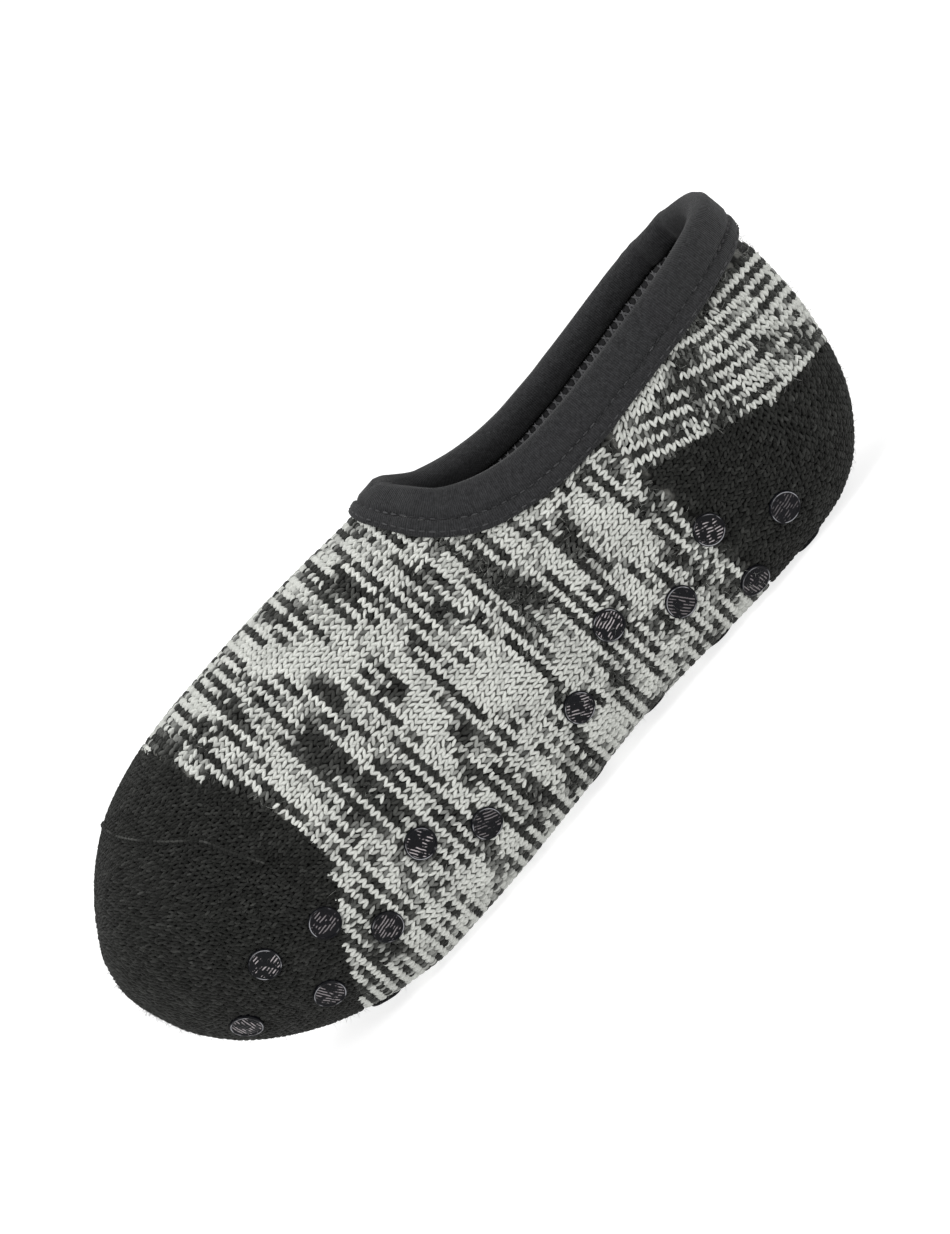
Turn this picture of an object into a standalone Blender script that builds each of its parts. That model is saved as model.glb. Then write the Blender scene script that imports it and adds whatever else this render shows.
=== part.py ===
"""A knitted slipper sock, standing empty on its sole: one hollow knitted body, a folded jersey
binding round the collar, the overlocked edge inside it, the linked toe seam and the grip dots.

Metres, +Z up, +X towards the toe, +Y to the wearer's left. The floor is z = 0, under the dots.
"""

import math
from collections import namedtuple

import bpy
import numpy as np
from mathutils import Vector
from mathutils.bvhtree import BVHTree

# Sizes of the knitted body, measured from the underside of its sole
LENGTH = 0.2375
BALL_WIDTH = 0.0660
HEEL_WIDTH = 0.0520
INSTEP_HEIGHT = 0.0880
COLLAR_HEIGHT = 0.0682
BACK_HEIGHT = 0.0728
THROAT_FROM_TOE = 0.1325
WALL = 0.0026

# Sizes of the binding that is folded over the collar's edge
BINDING_OUTSIDE = 0.0106
BINDING_INSIDE = 0.0048
BINDING_THICKNESS = 0.0020
THROAT_EASE = 0.18
THROAT_EASE_HALF_WIDTH = 0.0130
BINDING_ROLL = 0.0022

# Sizes of the overlocked edge below the binding, inside the collar
OVERLOCK_WIDTH = 0.0036
OVERLOCK_THICKNESS = 0.0020

# Sizes of the linked seam over the toes
TOE_SEAM_WIDTH = 0.0018
TOE_SEAM_HEIGHT = 0.0006

# Sizes of the grip dots
DOT_DIAMETER = 0.0084
DOT_HEIGHT = 0.0009
DOT_EDGE = 0.0004

# Gaps between pieces that lie on each other: outside, inside, and over the knit's edge in the binding
SEAT = 0.0003
INSIDE_SEAT = 0.0008
EDGE_ROOM = 0.0007

# Counts of facets
RINGS_PER_ROW = 2
POINTS_PER_SIDE = 14
COLLAR_STATIONS = 66
TOE_SEAM_STATIONS = 24
DOT_SIDES = 10

# The finer skin that the other pieces are laid on
FINE_RINGS_PER_ROW = 8
FINE_POINTS_PER_SIDE = 60
MARCH_STEP = 0.0010
RIM_POINTS = 160

# Length of rim that a full turn of its direction counts as, so that tight bends get more stations
TURN_LENGTH = 0.30

SOLE_LIFT = DOT_HEIGHT + SEAT
WALL_POWER = 2.0
SOLE_POWER = 2.15

# Closed sections, from the tip of the toe to the throat. Columns: distance from the tip as a share of
# THROAT_FROM_TOE, underside and crown as shares of INSTEP_HEIGHT, width as a share of BALL_WIDTH,
# height of the widest point as a share of the section, and flat of the sole as a share of the width.
FootRow = namedtuple("FootRow", "along under crown width widest flat")
FOOT_ROWS = (
    FootRow(0.000, 0.548, 0.548, 0.000, 0.50, 0.00),
    FootRow(0.017, 0.405, 0.656, 0.280, 0.50, 0.02),
    FootRow(0.067, 0.264, 0.762, 0.540, 0.49, 0.06),
    FootRow(0.146, 0.154, 0.870, 0.745, 0.47, 0.14),
    FootRow(0.250, 0.070, 0.951, 0.890, 0.44, 0.25),
    FootRow(0.370, 0.018, 0.989, 0.970, 0.42, 0.36),
    FootRow(0.470, 0.000, 0.999, 1.000, 0.40, 0.42),
    FootRow(0.610, 0.000, 1.000, 0.997, 0.40, 0.43),
    FootRow(0.780, 0.007, 0.990, 0.963, 0.40, 0.42),
    FootRow(0.924, 0.019, 0.975, 0.918, 0.40, 0.42),
    FootRow(1.000, 0.024, 0.978, 0.895, 0.40, 0.42),
)

# Open sections, from the throat round the heel to the back of the collar. Columns: where the section
# leaves the sole or the back and where it ends on the rim, both as shares of the length behind the
# throat, height there as a share of BACK_HEIGHT, rise of the rim from COLLAR_HEIGHT to INSTEP_HEIGHT
# (front) and to BACK_HEIGHT (rear), width as a share of HEEL_WIDTH with the part of the way to
# BALL_WIDTH, width at the rim as a share of the section's, then as above.
HeelRow = namedtuple("HeelRow", "along rise rim front rear width to_ball rim_width widest flat")
HEEL_ROWS = (
    HeelRow(0.020, 0.029, 0.0125, 0.840, 0.00, 1.000, 0.480, 0.210, 0.40, 0.42),
    HeelRow(0.047, 0.0285, 0.037, 0.700, 0.00, 1.000, 0.450, 0.357, 0.41, 0.42),
    HeelRow(0.114, 0.025, 0.076, 0.464, 0.00, 1.000, 0.390, 0.515, 0.43, 0.43),
    HeelRow(0.190, 0.019, 0.128, 0.290, 0.00, 1.000, 0.314, 0.650, 0.45, 0.44),
    HeelRow(0.285, 0.011, 0.200, 0.140, 0.00, 1.000, 0.229, 0.762, 0.47, 0.45),
    HeelRow(0.375, 0.004, 0.278, 0.050, 0.00, 1.000, 0.157, 0.825, 0.48, 0.46),
    HeelRow(0.450, 0.000, 0.345, 0.015, 0.03, 1.000, 0.100, 0.860, 0.49, 0.46),
    HeelRow(0.600, 0.000, 0.445, 0.000, 0.11, 1.000, 0.030, 0.895, 0.53, 0.43),
    HeelRow(0.680, 0.006, 0.490, 0.000, 0.175, 1.000, 0.010, 0.909, 0.56, 0.37),
    HeelRow(0.768, 0.042, 0.535, 0.000, 0.24, 0.990, 0.000, 0.920, 0.60, 0.28),
    HeelRow(0.858, 0.142, 0.580, 0.000, 0.32, 0.967, 0.000, 0.945, 0.67, 0.19),
    HeelRow(0.924, 0.278, 0.615, 0.000, 0.38, 0.945, 0.000, 0.967, 0.75, 0.13),
    HeelRow(0.963, 0.434, 0.640, 0.000, 0.43, 0.928, 0.000, 0.984, 0.83, 0.09),
    HeelRow(0.986, 0.597, 0.660, 0.000, 0.47, 0.917, 0.000, 0.994, 0.90, 0.07),
    HeelRow(0.996, 0.790, 0.675, 0.000, 0.50, 0.912, 0.000, 0.999, 0.96, 0.05),
    HeelRow(1.000, 1.000, 0.690, 0.000, 0.53, 0.910, 0.000, 1.000, 1.00, 0.04),
)

# Dots under the sole. Columns: distance of the row round the section from the middle of the sole as a
# share of BALL_WIDTH, with the same row on the right if it is off the middle, and distances of its
# dots from the tip of the toe as shares of LENGTH.
DotRow = namedtuple("DotRow", "around along")
SOLE_DOT_ROWS = (
    DotRow(0.00, (0.225, 0.329, 0.433, 0.538, 0.633, 0.746)),
    DotRow(0.13, (0.175, 0.275, 0.379, 0.488, 0.583, 0.679, 0.813)),
)

# Dots on the left side of the foot, each with its mirror image on the right. Columns: distance from
# the tip of the toe as a share of LENGTH, and height as a share of INSTEP_HEIGHT.
SideDot = namedtuple("SideDot", "along height")
SIDE_DOTS = (
    SideDot(0.060, 0.299),
    SideDot(0.120, 0.404),
    SideDot(0.141, 0.205),
    SideDot(0.192, 0.364),
    SideDot(0.231, 0.222),
    SideDot(0.317, 0.313),
    SideDot(0.377, 0.205),
    SideDot(0.528, 0.219),
    SideDot(0.611, 0.310),
    SideDot(0.678, 0.194),
    SideDot(0.745, 0.063),
    SideDot(0.752, 0.270),
    SideDot(0.821, 0.143),
)

# The toe seam in side view. Columns: distance from the tip of the toe as a share of LENGTH, and
# height as a share of INSTEP_HEIGHT.
SeamRow = namedtuple("SeamRow", "along height")
TOE_SEAM_ROWS = (
    SeamRow(0.117, 0.905),
    SeamRow(0.126, 0.876),
    SeamRow(0.143, 0.830),
    SeamRow(0.160, 0.787),
    SeamRow(0.173, 0.751),
    SeamRow(0.181, 0.697),
    SeamRow(0.189, 0.648),
    SeamRow(0.196, 0.606),
)

Section = namedtuple("Section", "keel_x keel_z top_x top_z half_width rim_squared widest flat")


def clear_scene():
    """Removes every object of the open file."""
    for item in list(bpy.data.objects):
        bpy.data.objects.remove(item, do_unlink=True)


def material(name, colour, roughness):
    """A plain dielectric finish."""
    made = bpy.data.materials.new(name)
    made.use_nodes = True
    shader = made.node_tree.nodes["Principled BSDF"]
    shader.inputs["Base Color"].default_value = (*colour, 1.0)
    shader.inputs["Roughness"].default_value = roughness
    shader.inputs["Metallic"].default_value = 0.0
    return made


def solid(name, vertices, faces, finish, smooth_angle=math.radians(40)):
    """One closed mesh as a named object."""
    mesh = bpy.data.meshes.new(name)
    mesh.from_pydata([tuple(v) for v in vertices], [], faces)
    mesh.validate()
    mesh.shade_smooth()
    mesh.set_sharp_from_angle(angle=smooth_angle)
    mesh.materials.append(finish)
    made = bpy.data.objects.new(name, mesh)
    bpy.context.scene.collection.objects.link(made)
    return made


def through_rows(values, at):
    """Values of a smooth curve through evenly spaced rows that never swings past a row's own value."""
    values = np.asarray(values, float)
    step = np.diff(values)
    slope = np.zeros_like(values)
    same_way = step[:-1] * step[1:] > 0
    both = step[:-1] + step[1:]
    slope[1:-1][same_way] = 2 * step[:-1][same_way] * step[1:][same_way] / both[same_way]
    slope[0] = max(0.0, 1.5 - 0.5 * step[1] / step[0]) * step[0] if step[0] else 0.0
    slope[-1] = max(0.0, 1.5 - 0.5 * step[-2] / step[-1]) * step[-1] if step[-1] else 0.0
    row = np.clip(np.floor(at).astype(int), 0, len(values) - 2)
    t = np.asarray(at) - row
    near = (1 + 2 * t) * (1 - t) ** 2 * values[row] + t * (1 - t) ** 2 * slope[row]
    far = t * t * (3 - 2 * t) * values[row + 1] + t * t * (t - 1) * slope[row + 1]
    return near + far


def sections():
    """The rows of both tables in metres, x forward from the tip of the toe and z from the floor."""
    found = []
    for row in FOOT_ROWS:
        x = -row.along * THROAT_FROM_TOE
        half = row.width * BALL_WIDTH / 2
        under = SOLE_LIFT + row.under * INSTEP_HEIGHT
        crown = SOLE_LIFT + row.crown * INSTEP_HEIGHT
        found.append(Section(x, under, x, crown, half, 0.0, row.widest, row.flat))
    behind = LENGTH - THROAT_FROM_TOE
    for row in HEEL_ROWS:
        half = row.width * (HEEL_WIDTH + row.to_ball * (BALL_WIDTH - HEEL_WIDTH)) / 2
        rim = COLLAR_HEIGHT + row.front * (INSTEP_HEIGHT - COLLAR_HEIGHT)
        rim += row.rear * (BACK_HEIGHT - COLLAR_HEIGHT)
        found.append(
            Section(
                -THROAT_FROM_TOE - row.along * behind,
                SOLE_LIFT + row.rise * BACK_HEIGHT,
                -THROAT_FROM_TOE - row.rim * behind,
                SOLE_LIFT + rim,
                half,
                row.rim_width**2,
                row.widest,
                row.flat,
            )
        )
    return found


def half_girth(section, count):
    """Evenly spaced points of one section, from the middle of the sole up its left side to the top."""
    turn = np.linspace(0, math.pi / 2, 90)
    flat = section.flat * section.half_width
    low_height = 1 - np.cos(turn) ** (2 / SOLE_POWER)
    low_width = flat + (section.half_width - flat) * np.sin(turn) ** (2 / SOLE_POWER)
    closing = 1 - section.rim_squared ** (WALL_POWER / 2)
    end = math.asin(math.sqrt(min(1.0, closing)))
    climb = np.linspace(0, end, 90)[1:]
    reach = max(math.sin(end), 1e-9)
    high_height = (np.sin(climb) / reach) ** (2 / WALL_POWER)
    high_width = section.half_width * np.cos(climb) ** (2 / WALL_POWER)
    share = np.concatenate([[0.0], section.widest * low_height])
    width = np.concatenate([[0.0], low_width])
    if section.widest < 1 - 1e-6:
        share = np.concatenate([share, section.widest + (1 - section.widest) * high_height])
        width = np.concatenate([width, high_width])
    x = section.keel_x + share * (section.top_x - section.keel_x)
    z = section.keel_z + share * (section.top_z - section.keel_z)
    line = np.stack([x, width, z], axis=1)
    run = np.concatenate([[0.0], np.cumsum(np.linalg.norm(np.diff(line, axis=0), axis=1))])
    even = np.linspace(0, run[-1], count + 1)
    return np.stack([np.interp(even, run, line[:, k]) for k in range(3)], axis=1)


def ring_grid(rings_per_row, points_per_side):
    """Half sections all along the body, without the tip: array of rings by points by coordinates."""
    rows = sections()
    at = np.linspace(0, len(rows) - 1, (len(rows) - 1) * rings_per_row + 1)[1:]
    throat = len(FOOT_ROWS) - 1
    columns = []
    for field in Section._fields:
        values = [getattr(row, field) for row in rows]
        if field in ("top_x", "top_z", "rim_squared"):
            closed = through_rows(values[: throat + 1], at[at <= throat])
            opened = through_rows(values[throat:], at[at > throat] - throat)
            columns.append(np.concatenate([closed, opened]))
        else:
            columns.append(through_rows(values, at))
    return np.array([half_girth(Section(*values), points_per_side) for values in zip(*columns)])


class Skin:
    """The outer surface of the body as a grid of sections, open at the collar."""

    def __init__(self, rings_per_row, points_per_side):
        self.rings = ring_grid(rings_per_row, points_per_side)
        self.side = points_per_side
        self.closed = (len(FOOT_ROWS) - 1) * rings_per_row
        self.vertices, self.index = self._vertices()
        self.faces = self._faces()
        self.normals = self._normals()
        self.rim = self._rim()

    def _vertices(self):
        """Vertices, and the index of each by ring and by place from the right rim to the left rim."""
        points = [np.array([0.0, 0.0, SOLE_LIFT + FOOT_ROWS[0].under * INSTEP_HEIGHT])]
        index = np.zeros((len(self.rings), 2 * self.side + 1), int)
        for i, ring in enumerate(self.rings):
            for j in range(-self.side, self.side + 1):
                if j == -self.side and i < self.closed:
                    continue
                x, y, z = ring[abs(j)]
                index[i, j + self.side] = len(points)
                points.append(np.array([x, math.copysign(y, j) if j else 0.0, z]))
            if i < self.closed:
                crown = index[i, 2 * self.side]
                index[i, 0] = crown
                points[crown][1] = 0.0
        return np.array(points), index

    def _faces(self):
        """Faces that point outwards."""
        first = self.index[0]
        faces = [(0, int(first[j]), int(first[j + 1])) for j in range(2 * self.side)]
        for near, far in zip(self.index[:-1], self.index[1:]):
            for j in range(2 * self.side):
                corners = (near[j], far[j], far[j + 1], near[j + 1])
                kept = [int(c) for k, c in enumerate(corners) if c != corners[k - 1]]
                faces.append(tuple(kept))
        return faces

    def _normals(self):
        """Unit normals at the vertices."""
        sums = np.zeros_like(self.vertices)
        for face in self.faces:
            a, b, c = (self.vertices[face[k]] for k in (0, 1, 2))
            across = np.cross(b - a, c - a)
            if len(face) == 4:
                d = self.vertices[face[3]]
                across = np.cross(c - a, d - b)
            for k in face:
                sums[k] += across
        return sums / np.linalg.norm(sums, axis=1)[:, None]

    def _rim(self):
        """Vertices round the collar, from the throat along the left side, the back and the right side."""
        opened = self.index[self.closed :]
        left = [int(row[2 * self.side]) for row in opened]
        back = [int(k) for k in opened[-1][1:-1][::-1]]
        right = [int(row[0]) for row in opened[::-1]]
        return [int(self.index[self.closed - 1][0])] + left + back + right


class Cloth(Skin):
    """The fine skin, which finds points and normals for the pieces that lie on it."""

    def __init__(self):
        super().__init__(FINE_RINGS_PER_ROW, FINE_POINTS_PER_SIDE)
        self.tree = BVHTree.FromPolygons([Vector(v) for v in self.vertices], self.faces)

    def nearest(self, point):
        """The nearest point of the skin and the smooth normal there."""
        place, _, face, _ = self.tree.find_nearest(Vector(point))
        return np.array(place), self._blend(face, np.array(place))

    def hit(self, start, direction):
        """Where a straight line meets the skin, and the smooth normal there."""
        place, _, face, _ = self.tree.ray_cast(Vector(start), Vector(direction))
        return np.array(place), self._blend(face, np.array(place))

    def _blend(self, face, place):
        """Normals of a face's corners, each weighted by how near it is."""
        corners = list(self.faces[face])
        away = np.linalg.norm(self.vertices[corners] - place, axis=1) + 1e-9
        mixed = (self.normals[corners] / away[:, None]).sum(axis=0)
        return mixed / np.linalg.norm(mixed)


def shell(skin):
    """Vertices and faces of the hollow wall between a skin and its copy one wall further in."""
    count = len(skin.vertices)
    vertices = np.concatenate([skin.vertices, skin.vertices - WALL * skin.normals])
    faces = list(skin.faces)
    faces += [tuple(k + count for k in reversed(face)) for face in skin.faces]
    loop = skin.rim
    for a, b in zip(loop, loop[1:] + loop[:1]):
        faces.append((a, b, b + count, a + count))
    return vertices, faces


def along_loop(points, stations, measure):
    """Indices and weights that place evenly spaced stations on a closed line, by a given measure."""
    run = np.concatenate([[0.0], np.cumsum(measure)])
    even = np.linspace(0, run[-1], stations, endpoint=False)
    closed = np.concatenate([points, points[:1]])
    return np.stack([np.interp(even, run, closed[:, k]) for k in range(3)], axis=1)


def spans_of(line):
    """Lengths from each point of a closed line to the next."""
    return np.linalg.norm(np.roll(line, -1, axis=0) - line, axis=1)


def march(cloth, start, tangent, depth):
    """Points and normals every MARCH_STEP down the skin, from the rim and square to it."""
    place, normal = cloth.nearest(start)
    way = np.cross(tangent, normal)
    places, normals = [place], [normal]
    for _ in range(int(math.ceil(depth / MARCH_STEP)) + 1):
        way -= way.dot(normal) * normal
        way /= np.linalg.norm(way)
        place, normal = cloth.nearest(place + way * MARCH_STEP)
        places.append(place)
        normals.append(normal)
    return np.array(places), np.array(normals)


class CollarPath:
    """Evenly spread stations round the rim, each with the line that runs down the skin from it."""

    def __init__(self, cloth):
        rim = cloth.vertices[cloth.rim]
        rim = along_loop(rim, RIM_POINTS, spans_of(rim))
        depth = max(BINDING_OUTSIDE, BINDING_INSIDE + SEAT + OVERLOCK_WIDTH)
        way = self._tangents(rim)
        edge = np.array([march(cloth, p, t, depth)[0][-1] for p, t in zip(rim, way)])
        turn = spans_of(way) / (2 * math.pi)
        measure = spans_of(rim) + spans_of(edge) + TURN_LENGTH * turn
        self.stations = along_loop(rim, COLLAR_STATIONS, measure)
        tangents = self._tangents(self.stations)
        self.lines = [march(cloth, p, t, depth) for p, t in zip(self.stations, tangents)]

    @staticmethod
    def _tangents(line):
        """Directions along a closed line, smoothed over two points each way."""
        ahead = np.roll(line, -1, axis=0) + np.roll(line, -2, axis=0)
        behind = np.roll(line, 1, axis=0) + np.roll(line, 2, axis=0)
        way = ahead - behind
        return way / np.linalg.norm(way, axis=1)[:, None]

    def place(self, station, down, out):
        """A point at a distance down from the rim and out from the skin. Above the rim, down is negative.

        Over the throat, where the strip is eased round the bend, every distance down is shorter.
        """
        places, normals = self.lines[station]
        ahead = places[0][0] > -THROAT_FROM_TOE - THROAT_EASE_HALF_WIDTH
        near = max(0.0, 1 - abs(places[0][1]) / THROAT_EASE_HALF_WIDTH) if ahead else 0.0
        if down > 0:
            down *= 1 - THROAT_EASE * near
        if down <= 0:
            up = places[0] - places[1]
            up /= np.linalg.norm(up)
            return places[0] - down * up + out * normals[0]
        steps = np.arange(len(places)) * MARCH_STEP
        place = [np.interp(down, steps, places[:, k]) for k in range(3)]
        normal = [np.interp(down, steps, normals[:, k]) for k in range(3)]
        return np.array(place) + out * np.array(normal)

    def sweep(self, profile):
        """Vertices and faces of a closed profile of (down, out) pairs carried round the collar."""
        vertices = [self.place(s, down, out) for s in range(COLLAR_STATIONS) for down, out in profile]
        return vertices, tube_faces(COLLAR_STATIONS, len(profile), closed=True)


def tube_faces(stations, sides, closed):
    """Faces of a tube of rings of vertices, with flat ends unless it closes on itself."""
    faces = []
    for i in range(stations if closed else stations - 1):
        near, far = i * sides, (i + 1) % stations * sides
        for j in range(sides):
            k = (j + 1) % sides
            faces.append((near + j, far + j, far + k, near + k))
    if not closed:
        last = (stations - 1) * sides
        faces.append(tuple(range(sides)))
        faces.append(tuple(last + j for j in reversed(range(sides))))
    return faces


def binding_profile():
    """The folded binding in section: a long leg outside, a roll over the edge, a short leg inside."""
    face = SEAT + BINDING_THICKNESS
    back = -WALL - INSIDE_SEAT - BINDING_THICKNESS
    middle = -WALL / 2
    top = -EDGE_ROOM - BINDING_ROLL
    return [
        (BINDING_OUTSIDE, SEAT),
        (BINDING_OUTSIDE, SEAT + 0.60 * BINDING_THICKNESS),
        (0.72 * BINDING_OUTSIDE, face),
        (0.15 * BINDING_OUTSIDE, face),
        (0.35 * top, 0.92 * face),
        (0.80 * top, middle + 0.62 * (face - middle)),
        (top, middle),
        (0.80 * top, middle + 0.62 * (back - middle)),
        (0.35 * top, middle + 0.94 * (back - middle)),
        (0.25 * BINDING_INSIDE, back),
        (0.80 * BINDING_INSIDE, back),
        (BINDING_INSIDE, -WALL - INSIDE_SEAT - 0.45 * BINDING_THICKNESS),
        (BINDING_INSIDE, -WALL - INSIDE_SEAT),
        (-EDGE_ROOM, -WALL - INSIDE_SEAT),
        (-EDGE_ROOM, SEAT),
        (0.20 * BINDING_OUTSIDE, SEAT),
        (0.60 * BINDING_OUTSIDE, SEAT),
    ]


def overlock_profile():
    """The overlocked edge in section, just below the binding's inner leg."""
    start = BINDING_INSIDE + SEAT
    end = start + OVERLOCK_WIDTH
    wall = -WALL - INSIDE_SEAT
    crest = wall - OVERLOCK_THICKNESS
    return [
        (start, wall),
        (start, wall - 0.7 * OVERLOCK_THICKNESS),
        ((start + end) / 2, crest),
        (end, wall - 0.6 * OVERLOCK_THICKNESS),
        (end, wall),
    ]


def toe_seam(cloth, finish):
    """The linked seam, a low ridge over the toes from one side to the other."""
    at = np.linspace(0, len(TOE_SEAM_ROWS) - 1, 40)
    x = -LENGTH * through_rows([row.along for row in TOE_SEAM_ROWS], at)
    z = SOLE_LIFT + INSTEP_HEIGHT * through_rows([row.height for row in TOE_SEAM_ROWS], at)
    left = []
    for along, height in zip(x, z):
        found, _ = cloth.hit((along, BALL_WIDTH, height), (0, -1, 0))
        left.append(found)
    crown, _ = cloth.hit((x[0] + 0.0004, 0.0, 2 * INSTEP_HEIGHT), (0, 0, -1))
    line = np.array(left[::-1] + [crown] + [p * (1, -1, 1) for p in left])
    run = np.concatenate([[0.0], np.cumsum(np.linalg.norm(np.diff(line, axis=0), axis=1))])
    even = np.linspace(0, run[-1], TOE_SEAM_STATIONS)
    line = np.stack([np.interp(even, run, line[:, k]) for k in range(3)], axis=1)
    vertices = []
    for i, point in enumerate(line):
        place, normal = cloth.nearest(point)
        way = line[min(i + 1, len(line) - 1)] - line[max(i - 1, 0)]
        across = np.cross(way, normal)
        across /= np.linalg.norm(across)
        half = TOE_SEAM_WIDTH / 2
        for side, rise in ((-half, 0.0), (half, 0.0), (0.55 * half, TOE_SEAM_HEIGHT), (-0.55 * half, TOE_SEAM_HEIGHT)):
            vertices.append(place + side * across + (SEAT + rise) * normal)
    return solid("toe_seam", vertices, tube_faces(TOE_SEAM_STATIONS, 4, closed=False), finish)


def dot_centre(cloth, along, around):
    """The point of the left side at a distance from the tip of the toe and round from the sole's middle."""
    track = []
    for ring in cloth.rings:
        run = np.concatenate([[0.0], np.cumsum(np.linalg.norm(np.diff(ring, axis=0), axis=1))])
        track.append([np.interp(around, run, ring[:, k]) for k in range(3)])
    track = np.array(track)
    low = int(np.argmax(track[:, 2] < SOLE_LIFT + 0.25 * INSTEP_HEIGHT)) if around < 0.01 else 0
    x = track[low:, 0]
    return np.array([np.interp(along, -x, track[low:, k]) for k in range(3)])


def grip_dot(name, cloth, place, finish):
    """One moulded dot, bent to the knit under it, with a rounded edge."""
    centre, normal = cloth.nearest(place)
    first = np.cross(normal, (0.0, 1.0, 0.0))
    first /= np.linalg.norm(first)
    second = np.cross(normal, first)
    radius = DOT_DIAMETER / 2
    levels = (
        (radius, SEAT),
        (radius, SEAT + DOT_HEIGHT - DOT_EDGE),
        (radius - DOT_EDGE, SEAT + DOT_HEIGHT),
    )
    vertices = [centre + SEAT * normal]
    for reach, rise in levels:
        for k in range(DOT_SIDES):
            turn = 2 * math.pi * k / DOT_SIDES
            spot = centre + reach * (math.cos(turn) * first + math.sin(turn) * second)
            under, lean = cloth.nearest(spot)
            vertices.append(under + rise * lean)
    vertices.append(centre + (SEAT + DOT_HEIGHT) * normal)
    last = len(vertices) - 1
    faces = [(0, 1 + (k + 1) % DOT_SIDES, 1 + k) for k in range(DOT_SIDES)]
    for level in range(len(levels) - 1):
        low, high = 1 + level * DOT_SIDES, 1 + (level + 1) * DOT_SIDES
        for k in range(DOT_SIDES):
            m = (k + 1) % DOT_SIDES
            faces.append((low + k, low + m, high + m, high + k))
    top = 1 + (len(levels) - 1) * DOT_SIDES
    faces += [(top + k, top + (k + 1) % DOT_SIDES, last) for k in range(DOT_SIDES)]
    return solid(name, vertices, faces, finish, math.radians(30))


def grip_dots(cloth, finish):
    """Every dot, those off the middle on both sides."""
    places = []
    for row in SOLE_DOT_ROWS:
        for share in row.along:
            spot = dot_centre(cloth, share * LENGTH, row.around * BALL_WIDTH)
            places.append(spot)
            if row.around:
                places.append(spot * (1, -1, 1))
    for dot in SIDE_DOTS:
        height = SOLE_LIFT + dot.height * INSTEP_HEIGHT
        spot, _ = cloth.hit((-dot.along * LENGTH, BALL_WIDTH, height), (0, -1, 0))
        places += [spot, spot * (1, -1, 1)]
    return [grip_dot(f"grip_dot_{i + 1:02d}", cloth, p, finish) for i, p in enumerate(places)]


def centre_over_origin(objects):
    """Moves the finished pieces so that their box is centred on x = 0, with the floor left as it is."""
    x = [v.co.x for item in objects for v in item.data.vertices]
    shift = -(min(x) + max(x)) / 2
    for item in objects:
        for vertex in item.data.vertices:
            vertex.co.x += shift


def main():
    clear_scene()
    knit = material("marled_knit", (0.20, 0.20, 0.19), 0.95)
    jersey = material("charcoal_jersey", (0.030, 0.030, 0.032), 0.85)
    thread = material("dark_thread", (0.035, 0.035, 0.033), 0.80)
    grip = material("grip_silicone", (0.020, 0.020, 0.024), 0.30)
    cloth = Cloth()
    collar = CollarPath(cloth)
    body = solid("knit_body", *shell(Skin(RINGS_PER_ROW, POINTS_PER_SIDE)), knit)
    binding = solid("collar_binding", *collar.sweep(binding_profile()), jersey)
    overlock = solid("overlock_edge", *collar.sweep(overlock_profile()), thread)
    seam = toe_seam(cloth, thread)
    centre_over_origin([body, binding, overlock, seam] + grip_dots(cloth, grip))


main()
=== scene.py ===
"""Looks of a knitted slipper sock that stands empty on its sole.

The knit is built loop by loop over a hollow backing that follows the part's own rows. The collar has
a folded jersey binding with its topstitching, and an overlocked edge inside. The toe has a linked
seam, and the sole and its sides carry moulded silicone dots.

Metres, +Z up, +X towards the toe, +Y to the wearer's left. The floor is z = 0, under the dots.
"""

import logging
import math
from dataclasses import dataclass
from enum import Enum
from typing import NamedTuple, Sequence

import bpy
import numpy as np
from mathutils import Matrix, Vector
from mathutils.bvhtree import BVHTree


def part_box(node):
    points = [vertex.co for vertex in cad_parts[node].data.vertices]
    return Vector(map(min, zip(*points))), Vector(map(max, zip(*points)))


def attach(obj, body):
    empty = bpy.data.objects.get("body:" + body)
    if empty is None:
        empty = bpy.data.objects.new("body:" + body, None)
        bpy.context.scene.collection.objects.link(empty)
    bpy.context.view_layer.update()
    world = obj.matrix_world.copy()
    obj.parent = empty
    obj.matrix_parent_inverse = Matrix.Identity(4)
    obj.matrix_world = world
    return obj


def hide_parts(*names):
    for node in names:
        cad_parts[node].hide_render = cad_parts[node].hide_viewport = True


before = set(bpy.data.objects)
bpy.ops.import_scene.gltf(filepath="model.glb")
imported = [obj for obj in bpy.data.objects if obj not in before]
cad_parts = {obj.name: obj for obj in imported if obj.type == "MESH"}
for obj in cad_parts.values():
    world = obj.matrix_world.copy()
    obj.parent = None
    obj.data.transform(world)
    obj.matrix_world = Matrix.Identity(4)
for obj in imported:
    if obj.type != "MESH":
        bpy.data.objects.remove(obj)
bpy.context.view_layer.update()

log = logging.getLogger("slipper_sock")

BODY = "root"
MM = 0.001

# Lift of the side view's eye above the floor, in degrees: side_view() measures as the photo shows
EYE_LIFT = 13.5

# Height in the side view of a point on the floor under the sock's middle line, in millimetres
SIDE_FLOOR = 3.15


class FootRow(NamedTuple):
    """A closed section, in shares of the foot's main sizes."""

    along: float
    under: float
    crown: float
    width: float
    widest: float
    flat: float


class HeelRow(NamedTuple):
    """An open section, from the sole or the back of the heel up to the collar's rim."""

    along: float
    rise: float
    rim: float
    front: float
    rear: float
    width: float
    to_ball: float
    rim_width: float
    widest: float
    flat: float


class Section(NamedTuple):
    """A section in metres, x forward from the tip of the toe."""

    keel_x: float
    keel_z: float
    top_x: float
    top_z: float
    half_width: float
    rim_squared: float
    widest: float
    flat: float


class Crease(NamedTuple):
    """A soft trough, or a ridge if its depth is negative, in side-view millimetres."""

    x: float
    z: float
    slope: float
    length: float
    width: float
    depth: float
    side: float


class Fold(NamedTuple):
    """A trough across the binding, or a ridge if its depth is negative: place and half width in mm."""

    x: float
    side: float
    half_width: float
    depth: float


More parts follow.
